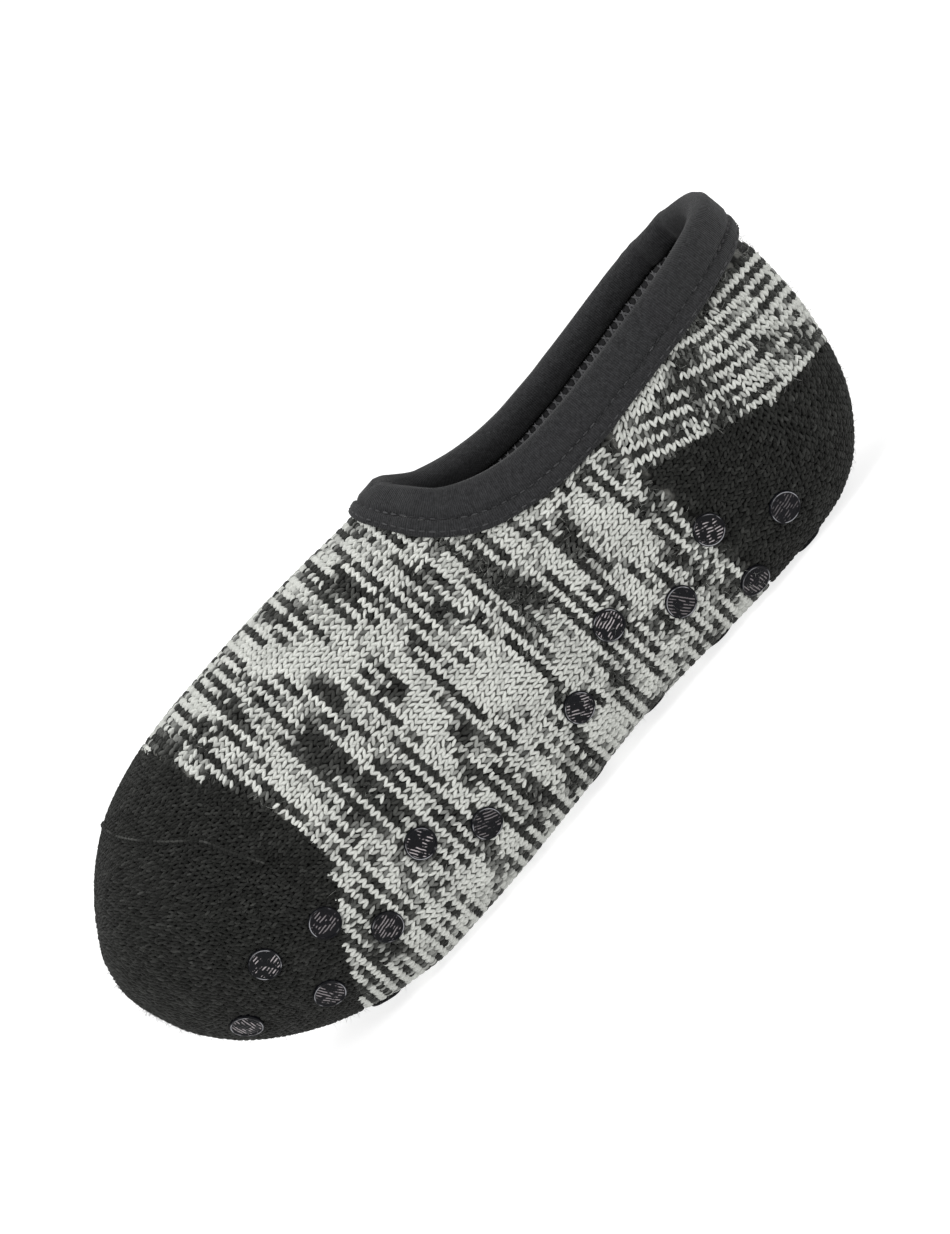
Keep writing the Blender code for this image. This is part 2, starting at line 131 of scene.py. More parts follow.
class Patch(NamedTuple):
    """A place where the marl runs lighter, or darker if its shift is negative, in side-view mm."""

    x: float
    z: float
    half_x: float
    half_z: float
    shift: float


class Course(NamedTuple):
    """A drawn course of the heel: its place among the courses, and its line in side-view mm."""

    number: float
    x: tuple[float, ...]
    z: tuple[float, ...]


class Zone(Enum):
    """Parts of the knit, by yarn and by the run of their courses."""

    MARL = "marl"
    FAN = "fan"
    TOE = "toe"
    HEEL = "heel"


FOOT_ROWS = (
    FootRow(0.000, 0.548, 0.548, 0.000, 0.50, 0.00),
    FootRow(0.017, 0.405, 0.656, 0.280, 0.50, 0.02),
    FootRow(0.067, 0.264, 0.762, 0.540, 0.49, 0.06),
    FootRow(0.146, 0.154, 0.870, 0.745, 0.47, 0.14),
    FootRow(0.250, 0.070, 0.951, 0.890, 0.44, 0.25),
    FootRow(0.370, 0.018, 0.989, 0.970, 0.42, 0.36),
    FootRow(0.470, 0.000, 0.999, 1.000, 0.40, 0.42),
    FootRow(0.610, 0.000, 1.000, 0.997, 0.40, 0.43),
    FootRow(0.780, 0.007, 0.990, 0.963, 0.40, 0.42),
    FootRow(0.924, 0.019, 0.975, 0.918, 0.40, 0.42),
    FootRow(1.000, 0.024, 0.978, 0.895, 0.40, 0.42),
)

HEEL_ROWS = (
    HeelRow(0.020, 0.029, 0.0125, 0.840, 0.00, 1.000, 0.480, 0.210, 0.40, 0.42),
    HeelRow(0.047, 0.0285, 0.037, 0.700, 0.00, 1.000, 0.450, 0.357, 0.41, 0.42),
    HeelRow(0.114, 0.025, 0.076, 0.464, 0.00, 1.000, 0.390, 0.515, 0.43, 0.43),
    HeelRow(0.190, 0.019, 0.128, 0.290, 0.00, 1.000, 0.314, 0.650, 0.45, 0.44),
    HeelRow(0.285, 0.011, 0.200, 0.140, 0.00, 1.000, 0.229, 0.762, 0.47, 0.45),
    HeelRow(0.375, 0.004, 0.278, 0.050, 0.00, 1.000, 0.157, 0.825, 0.48, 0.46),
    HeelRow(0.450, 0.000, 0.345, 0.015, 0.03, 1.000, 0.100, 0.860, 0.49, 0.46),
    HeelRow(0.600, 0.000, 0.445, 0.000, 0.11, 1.000, 0.030, 0.895, 0.53, 0.43),
    HeelRow(0.680, 0.006, 0.490, 0.000, 0.175, 1.000, 0.010, 0.909, 0.56, 0.37),
    HeelRow(0.768, 0.042, 0.535, 0.000, 0.24, 0.990, 0.000, 0.920, 0.60, 0.28),
    HeelRow(0.858, 0.142, 0.580, 0.000, 0.32, 0.967, 0.000, 0.945, 0.67, 0.19),
    HeelRow(0.924, 0.278, 0.615, 0.000, 0.38, 0.945, 0.000, 0.967, 0.75, 0.13),
    HeelRow(0.963, 0.434, 0.640, 0.000, 0.43, 0.928, 0.000, 0.984, 0.83, 0.09),
    HeelRow(0.986, 0.597, 0.660, 0.000, 0.47, 0.917, 0.000, 0.994, 0.90, 0.07),
    HeelRow(0.996, 0.790, 0.675, 0.000, 0.50, 0.912, 0.000, 0.999, 0.96, 0.05),
    HeelRow(1.000, 1.000, 0.690, 0.000, 0.53, 0.910, 0.000, 1.000, 1.00, 0.04),
)

# Creases and dimples of the empty sock
CREASES = (
    Crease(45.0, 46.5, -0.10, 6.0, 2.2, 1.3, 1.0),
    Crease(48.7, 46.0, 0.10, 2.8, 2.3, 1.7, 1.0),
    Crease(38.0, 66.0, 0.60, 5.0, 2.6, 0.9, 1.0),
    Crease(55.0, 52.0, 0.30, 9.0, 3.2, 0.7, 1.0),
    Crease(130.0, 60.0, -1.10, 10.0, 3.0, 0.7, 1.0),
    Crease(44.0, 48.0, 0.20, 7.0, 2.4, 1.0, -1.0),
    Crease(128.0, 62.0, -1.00, 11.0, 3.2, 0.8, -1.0),
)

# Folds and joins across the collar's binding
FOLDS = (
    Fold(229.0, -1.0, 2.0, 0.0017),
    Fold(224.0, -1.0, 2.4, -0.0007),
    Fold(219.6, -1.0, 1.1, 0.0010),
    Fold(216.6, -1.0, 1.1, 0.0009),
    Fold(232.0, 1.0, 2.6, 0.0005),
    Fold(205.0, 1.0, 4.0, 0.0003),
    Fold(176.0, 1.0, 5.0, 0.0003),
    Fold(136.0, 1.0, 1.8, 0.0005),
    Fold(130.5, 1.0, 1.6, 0.0006),
    Fold(126.0, 1.0, 1.8, -0.0004),
    Fold(134.0, -1.0, 2.6, 0.0006),
)

# Edge of the charcoal toe: distance from the tip against side-view height, both in mm
TOE_EDGE_Z = (0, 6, 12, 16, 20, 24, 28, 30.5, 34, 38, 41, 50, 58, 62, 69, 72, 75, 80, 84, 88)
TOE_EDGE_X = (32, 35, 38.5, 41, 44, 47, 50, 53, 55, 58, 59, 58.5, 57, 56, 54, 52, 50.5, 50, 49, 48)

# Top edge of the charcoal heel: side-view height against distance from the tip, both in mm
HEEL_FRONT = 179.0
HEEL_EDGE_X = (178, 184, 192.5, 200, 206, 213, 222, 233, 242)
HEEL_EDGE_Z = (41.2, 40.4, 38.4, 34.8, 32.2, 30, 29.6, 30, 30)

# Lighter places of the marl on the side that the photo shows, then darker ones
PATCHES = tuple(
    Patch(*row)
    for row in (
        (52.5, 76, 2.4, 4, 0.5), (61, 78, 2.0, 8, 0.4), (65, 57, 3.0, 10, 0.4),
        (64, 45, 3.0, 8, 0.4), (84, 80, 5.0, 6, 0.5), (91, 74, 3.6, 4, 0.5),
        (95, 66, 4.6, 5, 0.5), (106, 63, 4.4, 8, 0.45), (118, 80, 3.0, 6, 0.4),
        (87, 45, 3.0, 6, 0.4), (82, 50, 2.0, 5, 0.4), (102, 45, 3.2, 6, 0.5),
        (113, 38, 5.5, 6, 0.5), (120, 30, 11.0, 5, 0.4), (135, 26, 5.0, 6, 0.4),
        (145, 55, 4.0, 7, 0.45), (148, 41, 3.6, 7, 0.45), (95, 36, 5.0, 3, 0.4),
        (75, 8, 5.5, 5, 0.5), (108, 17, 4.5, 8, 0.4), (128, 9, 4.0, 5, 0.4),
        (57, 9, 4.0, 4, 0.4), (60, 31, 4.0, 4, 0.4), (165, 37, 4.4, 11, 0.55),
        (162, 52, 2.4, 4, 0.4), (172, 49, 2.2, 8, 0.4), (155, 26, 2.2, 6, 0.4),
        (164, 8, 5.0, 4, 0.4), (228, 45, 6.0, 2.4, 0.5), (189, 54, 5.0, 2.2, 0.5),
        (197, 54, 4.0, 1.6, 0.4), (222, 50, 10.0, 1.2, 0.45), (186, 45, 5.0, 2.4, 0.3),
        (218, 31, 10.0, 1.3, 0.5),
        (68, 77, 3.0, 6, -0.6), (54, 86, 4.0, 3, -0.5), (56.5, 78, 1.6, 5, -0.4),
        (76, 56, 3.2, 6, -0.5), (75, 45, 3.2, 7, -0.5), (74, 34, 3.0, 3, -0.4),
        (88, 64, 1.6, 6, -0.6), (93, 86, 2.4, 4, -0.5), (111, 77, 2.4, 6, -0.6),
        (108, 42, 1.8, 7, -0.7), (94, 54, 2.6, 3, -0.5), (84, 42, 1.8, 3, -0.5),
        (122, 56, 2.6, 4, -0.5), (130, 42, 1.4, 9, -0.6), (137, 56, 2.2, 4, -0.5),
        (139, 46, 1.4, 6, -0.5), (153.5, 44, 2.6, 6, -0.6), (155.5, 35, 2.6, 4, -0.5),
        (159, 27, 1.6, 6, -0.4), (95, 8, 2.6, 4, -0.4), (172, 35, 1.8, 4, -0.5),
        (176, 48, 1.8, 4, -0.5), (195, 50.5, 3.6, 1.4, -0.5), (203, 46.5, 4.0, 1.6, -0.6),
        (199, 36.5, 5.0, 1.6, -0.6), (217, 57, 5.0, 1.2, -0.5),
    )
)

# Courses above the charcoal heel, each a line from the binding to the back in side-view mm. The
# number in front of each is its place among the courses, counted up the back from the charcoal.
HEEL_COURSES = (
    Course(
        0.0,
        (176, 183.5, 192.7, 200.2, 206.4, 216, 224.3, 239),
        (44.5, 41.2, 37.0, 33.9, 31.8, 29.4, 29.0, 29.5),
    ),
    Course(
        5.0,
        (176, 183.5, 192.7, 200.2, 206.4, 216, 224, 239),
        (55.2, 51.2, 46.6, 43.3, 40.9, 38.2, 37.9, 38.3),
    ),
    Course(9.0, (186, 192.7, 200, 206, 214, 224, 239), (59.2, 55.4, 51.6, 48.9, 46.0, 45.2, 45.6)),
    Course(11.0, (192, 200, 206, 213, 224, 239), (60.2, 55.8, 52.9, 50.2, 49.0, 49.2)),
    Course(13.0, (199, 206, 212, 224, 239), (60.5, 56.8, 54.2, 52.8, 52.9)),
    Course(15.0, (206, 213, 224, 239), (60.8, 57.6, 56.5, 56.5)),
    Course(17.0, (210, 216, 226, 239), (64.0, 61.0, 60.2, 60.2)),
)


def through_rows(values: Sequence[float], at: np.ndarray) -> np.ndarray:
    """Values of a smooth curve through evenly spaced rows that never swings past a row's own value.

    Args:
        values: The value at each row.
        at: Places between the rows, where 0 is the first row.

    Returns:
        The values at those places.
    """
    values = np.asarray(values, float)
    step = np.diff(values)
    slope = np.zeros_like(values)
    same_way = step[:-1] * step[1:] > 0
    both = step[:-1] + step[1:]
    slope[1:-1][same_way] = 2 * step[:-1][same_way] * step[1:][same_way] / both[same_way]
    slope[0] = max(0.0, 1.5 - 0.5 * step[1] / step[0]) * step[0] if step[0] else 0.0
    slope[-1] = max(0.0, 1.5 - 0.5 * step[-2] / step[-1]) * step[-1] if step[-1] else 0.0
    row = np.clip(np.floor(at).astype(int), 0, len(values) - 2)
    t = np.asarray(at) - row
    near = (1 + 2 * t) * (1 - t) ** 2 * values[row] + t * (1 - t) ** 2 * slope[row]
    far = t * t * (3 - 2 * t) * values[row + 1] + t * t * (t - 1) * slope[row + 1]
    return near + far


def unit(vectors: np.ndarray) -> np.ndarray:
    """The same directions with length one."""
    return vectors / np.maximum(np.linalg.norm(vectors, axis=-1, keepdims=True), 1e-12)


def run_along(line: np.ndarray) -> np.ndarray:
    """Distance of each point of a line from its first point."""
    steps = np.linalg.norm(np.diff(line, axis=0), axis=1)
    return np.concatenate([[0.0], np.cumsum(steps)])


def along_line(line: np.ndarray, run: np.ndarray, at: np.ndarray | float) -> np.ndarray:
    """Points of a line, or other values kept with it, at distances along it.

    Args:
        line: The points.
        run: Distance of each of them along the line.
        at: The distances wanted.

    Returns:
        A row for each distance.
    """
    return np.stack([np.interp(at, run, line[:, k]) for k in range(line.shape[1])], axis=-1)


def laid_on(vectors: np.ndarray, normals: np.ndarray) -> np.ndarray:
    """Unit directions of vectors laid flat on a surface with these normals."""
    return unit(vectors - (vectors * normals).sum(axis=1)[:, None] * normals)


def axes_of(first: np.ndarray, out: np.ndarray) -> np.ndarray:
    """Three axes for each point, as rows: a given first one, one square to both, and the way out."""
    return np.stack([first, np.cross(out, first), out], axis=1)


def value_noise(row: np.ndarray, column: np.ndarray, seed: int) -> np.ndarray:
    """Smooth random values from 0 to 1 on a lattice with a spacing of one.

    Args:
        row: Places across the lattice.
        column: Places along the lattice.
        seed: Seed of the lattice.

    Returns:
        A value for each place.
    """
    size = 256
    table = np.random.default_rng(seed).random((size, size))
    i, j = np.floor(row).astype(int), np.floor(column).astype(int)
    s, t = row - i, column - j
    s, t = s * s * (3 - 2 * s), t * t * (3 - 2 * t)
    i, j = i % size, j % size
    k, m = (i + 1) % size, (j + 1) % size
    low = table[i, j] * (1 - t) + table[i, m] * t
    high = table[k, j] * (1 - t) + table[k, m] * t
    return low * (1 - s) + high * s


def mesh_object(
    name: str,
    vertices: np.ndarray,
    faces: Sequence[Sequence[int]],
    finishes: Sequence[bpy.types.Material] = (),
    finish_of: Sequence[int] = (),
) -> bpy.types.Object:
    """A smooth mesh as a named object at the origin.

    Args:
        name: The object's name.
        vertices: The points.
        faces: Faces as tuples of indices.
        finishes: Materials, in the order of their slots.
        finish_of: The slot of each face, or nothing where all use the first.

    Returns:
        The linked object.
    """
    mesh = bpy.data.meshes.new(name)
    mesh.from_pydata([tuple(map(float, v)) for v in vertices], [], [tuple(map(int, f)) for f in faces])
    mesh.shade_smooth()
    for finish in finishes:
        mesh.materials.append(finish)
    if len(finish_of):
        mesh.polygons.foreach_set("material_index", list(finish_of))
    made = bpy.data.objects.new(name, mesh)
    bpy.context.scene.collection.objects.link(made)
    return made


def float_attribute(mesh: bpy.types.Mesh, name: str, values: np.ndarray) -> None:
    """Stores one number for each point of a mesh."""
    mesh.attributes.new(name, "FLOAT", "POINT").data.foreach_set("value", np.asarray(values, np.float32))


def tube_faces(stations: int, sides: int) -> list[tuple[int, ...]]:
    """Faces of a tube of rings of vertices, whose last ring joins the first.

    Args:
        stations: Number of rings.
        sides: Vertices in a ring.

    Returns:
        The faces.
    """
    faces = []
    for i in range(stations):
        near, far = i * sides, (i + 1) % stations * sides
        for j in range(sides):
            k = (j + 1) % sides
            faces.append((near + j, far + j, far + k, near + k))
    return faces


def report(piece: bpy.types.Object) -> None:
    """Writes a piece's name and number of triangles to the log."""
    count = sum(len(face.vertices) - 2 for face in piece.data.polygons)
    log.info("%s: %d triangles", piece.name, count)


def corner_points(mesh: bpy.types.Mesh) -> np.ndarray:
    """The point at each corner of a mesh's faces."""
    corners = np.empty(len(mesh.loops), int)
    mesh.loops.foreach_get("vertex_index", corners)
    return corners


def add_map(mesh: bpy.types.Mesh, name: str, places: np.ndarray) -> None:
    """Gives a mesh a map, with a place in metres for each corner of its faces."""
    mesh.uv_layers.new(name=name).data.foreach_set("uv", places.ravel())


def feed(tree: bpy.types.NodeTree, node: bpy.types.Node, inputs: dict[str | int, object]) -> None:
    """Fills a node's inputs.

    Args:
        tree: The node's tree.
        node: The node.
        inputs: By the input's name or place, its value or the socket that gives it.
    """
    for key, value in inputs.items():
        if isinstance(key, int):
            socket = node.inputs[key]
        else:
            socket = next(s for s in node.inputs if s.enabled and s.name == key)
        if isinstance(value, bpy.types.NodeSocket):
            tree.links.new(value, socket)
        else:
            socket.default_value = value


def add_node(
    tree: bpy.types.NodeTree, kind: str, inputs: dict[str | int, object], **settings: object
) -> bpy.types.Node:
    """A new node.

    Args:
        tree: The tree that it joins.
        kind: Its type.
        inputs: By the input's name or place, its value or the socket that gives it.
        settings: Its own settings, such as its operation.

    Returns:
        The node.
    """
    node = tree.nodes.new(kind)
    for name, value in settings.items():
        setattr(node, name, value)
    feed(tree, node, inputs)
    return node


def first_output(node: bpy.types.Node) -> bpy.types.NodeSocket:
    """The first output socket that the node's present type uses."""
    return next(s for s in node.outputs if s.enabled)


def product(tree: bpy.types.NodeTree, a: object, b: object) -> bpy.types.NodeSocket:
    """A node that multiplies two values, each a number or a socket."""
    return add_node(tree, "ShaderNodeMath", {0: a, 1: b}, operation="MULTIPLY").outputs[0]


@dataclass
class SockForm:
    """The outer surface of the knitted body, from the same rows as the part's own source."""

    length: float = 0.2375
    ball_width: float = 0.0660
    heel_width: float = 0.0520
    instep_height: float = 0.0880
    collar_height: float = 0.0682
    back_height: float = 0.0728
    throat_from_toe: float = 0.1325
    wall: float = 0.0026
    sole_lift: float = 0.0012
    wall_power: float = 2.0
    sole_power: float = 2.15
    rings_per_row: int = 8
    points_per_side: int = 60
    arc_points: int = 90
    crease_free: float = 0.004

    def __post_init__(self) -> None:
        """Lays out the grid of points, its normals and the finder of nearest points."""
        self.toe_x = float(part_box("knit_body")[1].x)
        self.closed = (len(FOOT_ROWS) - 1) * self.rings_per_row
        self.grid = self._creased(self._grid())
        self.normals = self._normals(self.grid)
        around = np.linalg.norm(np.diff(self.grid[:, self.points_per_side :], axis=1), axis=2)
        self.half_girth = around.sum(axis=1)
        self.vertices, self.index = self._welded()
        self.vertex_normals = self._welded_values(self.normals)
        self.faces = self._faces()
        self.tree = BVHTree.FromPolygons([Vector(v) for v in self.vertices], self.faces)

    def _sections(self) -> list[Section]:
        """The rows of both tables in metres, x forward from the tip of the toe."""
        found = []
        for row in FOOT_ROWS:
            x = -row.along * self.throat_from_toe
            under = self.sole_lift + row.under * self.instep_height
            crown = self.sole_lift + row.crown * self.instep_height
            half = row.width * self.ball_width / 2
            found.append(Section(x, under, x, crown, half, 0.0, row.widest, row.flat))
        behind = self.length - self.throat_from_toe
        for row in HEEL_ROWS:
            half = row.width * (self.heel_width + row.to_ball * (self.ball_width - self.heel_width)) / 2
            rim = self.collar_height + row.front * (self.instep_height - self.collar_height)
            rim += row.rear * (self.back_height - self.collar_height)
            rise = row.rise * self.back_height
            keel = (-self.throat_from_toe - row.along * behind, self.sole_lift + rise)
            top = (-self.throat_from_toe - row.rim * behind, self.sole_lift + rim)
            found.append(Section(*keel, *top, half, row.rim_width**2, row.widest, row.flat))
        return found

    def _half(self, section: Section) -> np.ndarray:
        """Evenly spaced points of one section, from the middle of the sole up its left side."""
        turn = np.linspace(0, math.pi / 2, self.arc_points)
        flat = section.flat * section.half_width
        low_height = 1 - np.cos(turn) ** (2 / self.sole_power)
        low_width = flat + (section.half_width - flat) * np.sin(turn) ** (2 / self.sole_power)
        closing = 1 - section.rim_squared ** (self.wall_power / 2)
        end = math.asin(math.sqrt(min(1.0, closing)))
        climb = np.linspace(0, end, self.arc_points)[1:]
        reach = max(math.sin(end), 1e-9)
        high_height = (np.sin(climb) / reach) ** (2 / self.wall_power)
        high_width = section.half_width * np.cos(climb) ** (2 / self.wall_power)
        share = np.concatenate([[0.0], section.widest * low_height])
        width = np.concatenate([[0.0], low_width])
        if section.widest < 1 - 1e-6:
            share = np.concatenate([share, section.widest + (1 - section.widest) * high_height])
            width = np.concatenate([width, high_width])
        x = section.keel_x + share * (section.top_x - section.keel_x)
        z = section.keel_z + share * (section.top_z - section.keel_z)
        line = np.stack([x, width, z], axis=1)
        run = run_along(line)
        return along_line(line, run, np.linspace(0, run[-1], self.points_per_side + 1))

    def _grid(self) -> np.ndarray:
        """Rings of points from the right rim or crown round the sole to the left, without the tip."""
        rows = self._sections()
        at = np.linspace(0, len(rows) - 1, (len(rows) - 1) * self.rings_per_row + 1)[1:]
        throat = len(FOOT_ROWS) - 1
        columns = []
        for name in Section._fields:
            values = [getattr(row, name) for row in rows]
            if name in ("top_x", "top_z", "rim_squared"):
                closed = through_rows(values[: throat + 1], at[at <= throat])
                opened = through_rows(values[throat:], at[at > throat] - throat)
                columns.append(np.concatenate([closed, opened]))
            else:
                columns.append(through_rows(values, at))
        left = np.array([self._half(Section(*values)) for values in zip(*columns)])
        left[: self.closed, -1, 1] = 0.0
        right = left[:, :0:-1] * (1, -1, 1)
        return np.concatenate([right, left], axis=1) + (self.toe_x, 0, 0)

    def side_view(self, points: np.ndarray) -> tuple[np.ndarray, np.ndarray]:
        """Distance behind the tip and height as the raised side view shows them, in millimetres.

        Args:
            points: Array whose last axis is x, y, z.

        Returns:
            The two distances. Both sides of the foot are measured alike.
        """
        lift = math.radians(EYE_LIFT)
        x = (self.toe_x - points[..., 0]) / MM
        z = (points[..., 2] * math.cos(lift) - np.abs(points[..., 1]) * math.sin(lift)) / MM + SIDE_FLOOR
        return x, z

    def _creased(self, grid: np.ndarray) -> np.ndarray:
        """The grid with its creases pressed in."""
        normals = self._normals(grid)
        x, z = self.side_view(grid)
        depth = np.zeros(x.shape)
        for crease in CREASES:
            turn = math.atan(crease.slope)
            dx, dz = x - crease.x, z - crease.z
            along = (dx * math.cos(turn) + dz * math.sin(turn)) / crease.length
            across = (dz * math.cos(turn) - dx * math.sin(turn)) / crease.width
            near = np.exp(-(along**2) - across**2)
            depth += crease.depth * near * (grid[..., 1] * crease.side > self.crease_free)
        return grid - depth[..., None] * MM * normals

    def _normals(self, grid: np.ndarray) -> np.ndarray:
        """Outward unit normals at the points of the grid."""
        along = np.gradient(grid, axis=0)
        around = np.gradient(grid, axis=1)
        normals = unit(np.cross(along, around))
        seam = unit((normals[: self.closed, 0] + normals[: self.closed, -1]) * (1, 0, 1))
        normals[: self.closed, 0] = seam
        normals[: self.closed, -1] = seam
        return normals

    def _welded(self) -> tuple[np.ndarray, np.ndarray]:
        """Points with the tip first and the crown shared, and the index of each place of the grid."""
        tip = np.array([[self.toe_x, 0.0, self.sole_lift + FOOT_ROWS[0].under * self.instep_height]])
        rings, columns = self.grid.shape[:2]
        index = 1 + np.arange(rings * columns).reshape(rings, columns)
        index[: self.closed, 0] = index[: self.closed, -1]
        return np.concatenate([tip, self.grid.reshape(-1, 3)]), index

    def _welded_values(self, values: np.ndarray) -> np.ndarray:
        """Normals for the welded points, with the tip's own, straight ahead, in front."""
        return np.concatenate([[[1.0, 0.0, 0.0]], values.reshape(-1, 3)])

    def _faces(self) -> list[tuple[int, ...]]:
        """Faces of the skin that point outwards."""
        first = self.index[0]
        faces = [(0, int(a), int(b)) for a, b in zip(first[:-1], first[1:])]
        for near, far in zip(self.index[:-1], self.index[1:]):
            for j in range(len(near) - 1):
                corners = (near[j], far[j], far[j + 1], near[j + 1])
                faces.append(tuple(int(c) for k, c in enumerate(corners) if c != corners[k - 1]))
        return faces

    def rim(self) -> list[int]:
        """Vertices round the collar, from the throat along the left side, the back and the right side."""
        opened = self.index[self.closed :]
        left = [int(row[-1]) for row in opened]
        back = [int(k) for k in opened[-1][1:-1][::-1]]
        right = [int(row[0]) for row in opened[::-1]]
        return [int(self.index[self.closed - 1][0])] + left + back + right

    def nearest(self, point: np.ndarray) -> tuple[np.ndarray, np.ndarray]:
        """The nearest point of the skin and the smooth normal there."""
        place, _, face, _ = self.tree.find_nearest(Vector(point))
        return np.array(place), self._blend(face, np.array(place))

    def nearest_all(self, points: np.ndarray) -> tuple[np.ndarray, np.ndarray]:
        """The nearest points of the skin to several points, and the smooth normals there."""
        found = [self.nearest(point) for point in points]
        return np.array([place for place, _ in found]), np.array([normal for _, normal in found])

    def hit(self, start: Sequence[float], direction: Sequence[float]) -> np.ndarray:
        """Where a straight line meets the skin."""
        return np.array(self.tree.ray_cast(Vector(start), Vector(direction))[0])

    def _blend(self, face: int, place: np.ndarray) -> np.ndarray:
        """Normals of a face's corners, each weighted by how near it is."""
        corners = list(self.faces[face])
        away = np.linalg.norm(self.vertices[corners] - place, axis=1) + 1e-9
        return unit((self.vertex_normals[corners] / away[:, None]).sum(axis=0))

    def at(self, ring: np.ndarray, share: np.ndarray, values: np.ndarray | None = None) -> np.ndarray:
        """Points of the skin, or normals, between the points of the grid.

        Args:
            ring: Places along the rings of the grid.
            share: Shares of the half girth, from -1 at the right rim through 0 at the sole to 1.
            values: The grid to read, or None for the points.

        Returns:
            Array of x, y, z.
        """
        values = self.grid if values is None else values
        ring = np.clip(ring, 0, len(values) - 1 - 1e-9)
        column = np.clip((share + 1) * self.points_per_side, 0, 2 * self.points_per_side - 1e-9)
        i, j = ring.astype(int), column.astype(int)
        s, t = (ring - i)[..., None], (column - j)[..., None]
        low = values[i, j] * (1 - t) + values[i, j + 1] * t
        high = values[i + 1, j] * (1 - t) + values[i + 1, j + 1] * t
        return low * (1 - s) + high * s

    def girth_at(self, ring: np.ndarray) -> np.ndarray:
        """Length of the half girth at places along the rings."""
        return np.interp(ring, np.arange(len(self.half_girth)), self.half_girth)

    def slice_at(self, behind: float) -> tuple[np.ndarray, np.ndarray]:
        """The line round the skin at one distance behind the tip, with its normals.

        Args:
            behind: The distance, in metres.

        Returns:
            Points and normals, from the right rim or crown round the sole to the left.
        """
        rings = np.arange(len(self.grid))
        columns = range(self.grid.shape[1])
        place = np.array([np.interp(behind, self.toe_x - self.grid[:, j, 0], rings) for j in columns])
        share = np.linspace(-1, 1, self.grid.shape[1])
        return self.at(place, share), unit(self.at(place, share, self.normals))

    def from_side(self, x: float, z: float) -> np.ndarray | None:
        """The point of the left side at a place of the side view, or None beyond the outline.

        Args:
            x: Distance behind the tip, in millimetres.
            z: Height in the side view, in millimetres.

        Returns:
            The point.
        """
        lift = math.radians(EYE_LIFT)
        clear = 0.2
        height = ((z - SIDE_FLOOR) * MM + clear * math.sin(lift)) / math.cos(lift)
        start = Vector((self.toe_x - x * MM, clear, height))
        found = self.tree.ray_cast(start, Vector((0, -math.cos(lift), -math.sin(lift))))[0]
        return None if found is None or found.y < 0 else np.array(found)

    def back_at(self, z: float) -> np.ndarray:
        """The point of the back's middle line at a height of the side view, in millimetres."""
        keel = self.grid[self.closed :, self.points_per_side]
        height = (z - SIDE_FLOOR) * MM / math.cos(math.radians(EYE_LIFT))
        low = int(np.argmin(keel[:, 2]))
        return along_line(keel[low:], keel[low:, 2], height)

    def courses(self, share: float, pitch: float) -> np.ndarray:
        """Places along the rings that are one pitch apart at a share of the half girth."""
        column = int(round((share + 1) * self.points_per_side))
        run = run_along(self.grid[:, column])
        return np.interp(np.arange(pitch / 2, run[-1], pitch), run, np.arange(len(run)))


@dataclass(frozen=True)
class Marl:
    """The marled yarn: which stitches are light and which are charcoal.

    The tone is a sum of long runs that span a few courses, shorter runs of one course, and flecks,
    with the courses lighter and darker in turn and the patches laid over all.
    """

    form: SockForm
    seed: int = 11
    runs_per_course: float = 0.46
    run_length: float = 0.017
    single_length: float = 0.0085
    fleck_length: float = 0.0022
    run_weight: float = 0.24
    single_weight: float = 0.42
    fleck_weight: float = 0.34
    even_course: float = 0.125
    odd_course: float = -0.105
    patch_weight: float = 0.62
    softness: float = 0.13
    other_side: float = 7.0

    def tone(self, course: np.ndarray, around: np.ndarray, points: np.ndarray) -> np.ndarray:
        """Tone of stitches, from 0 for charcoal to 1 for light.

        Args:
            course: Number of the course of each stitch.
            around: Distance of each stitch round its course from the middle of the sole, in metres.
            points: Places of the stitches.

        Returns:
            The tones.
        """
        runs = value_noise(course * self.runs_per_course, around / self.run_length + 90, self.seed)
        single = value_noise(course, around / self.single_length + 300, self.seed + 1)
        flecks = value_noise(course, around / self.fleck_length + 500, self.seed + 2)
        bias = np.where(course % 2 == 0, self.even_course, self.odd_course)
        x, z = self.form.side_view(points)
        x = x - np.where(points[..., 1] > 0, 0.0, self.other_side)
        shift = np.zeros(x.shape)
        for patch in PATCHES:
            near = np.exp(-(((x - patch.x) / patch.half_x) ** 2) - ((z - patch.z) / patch.half_z) ** 2)
            shift += patch.shift * near
        value = self.run_weight * runs + self.single_weight * single + self.fleck_weight * flecks
        value = value - 0.5 + bias + self.patch_weight * shift
        return np.clip(value / self.softness + 0.5, 0.0, 1.0)


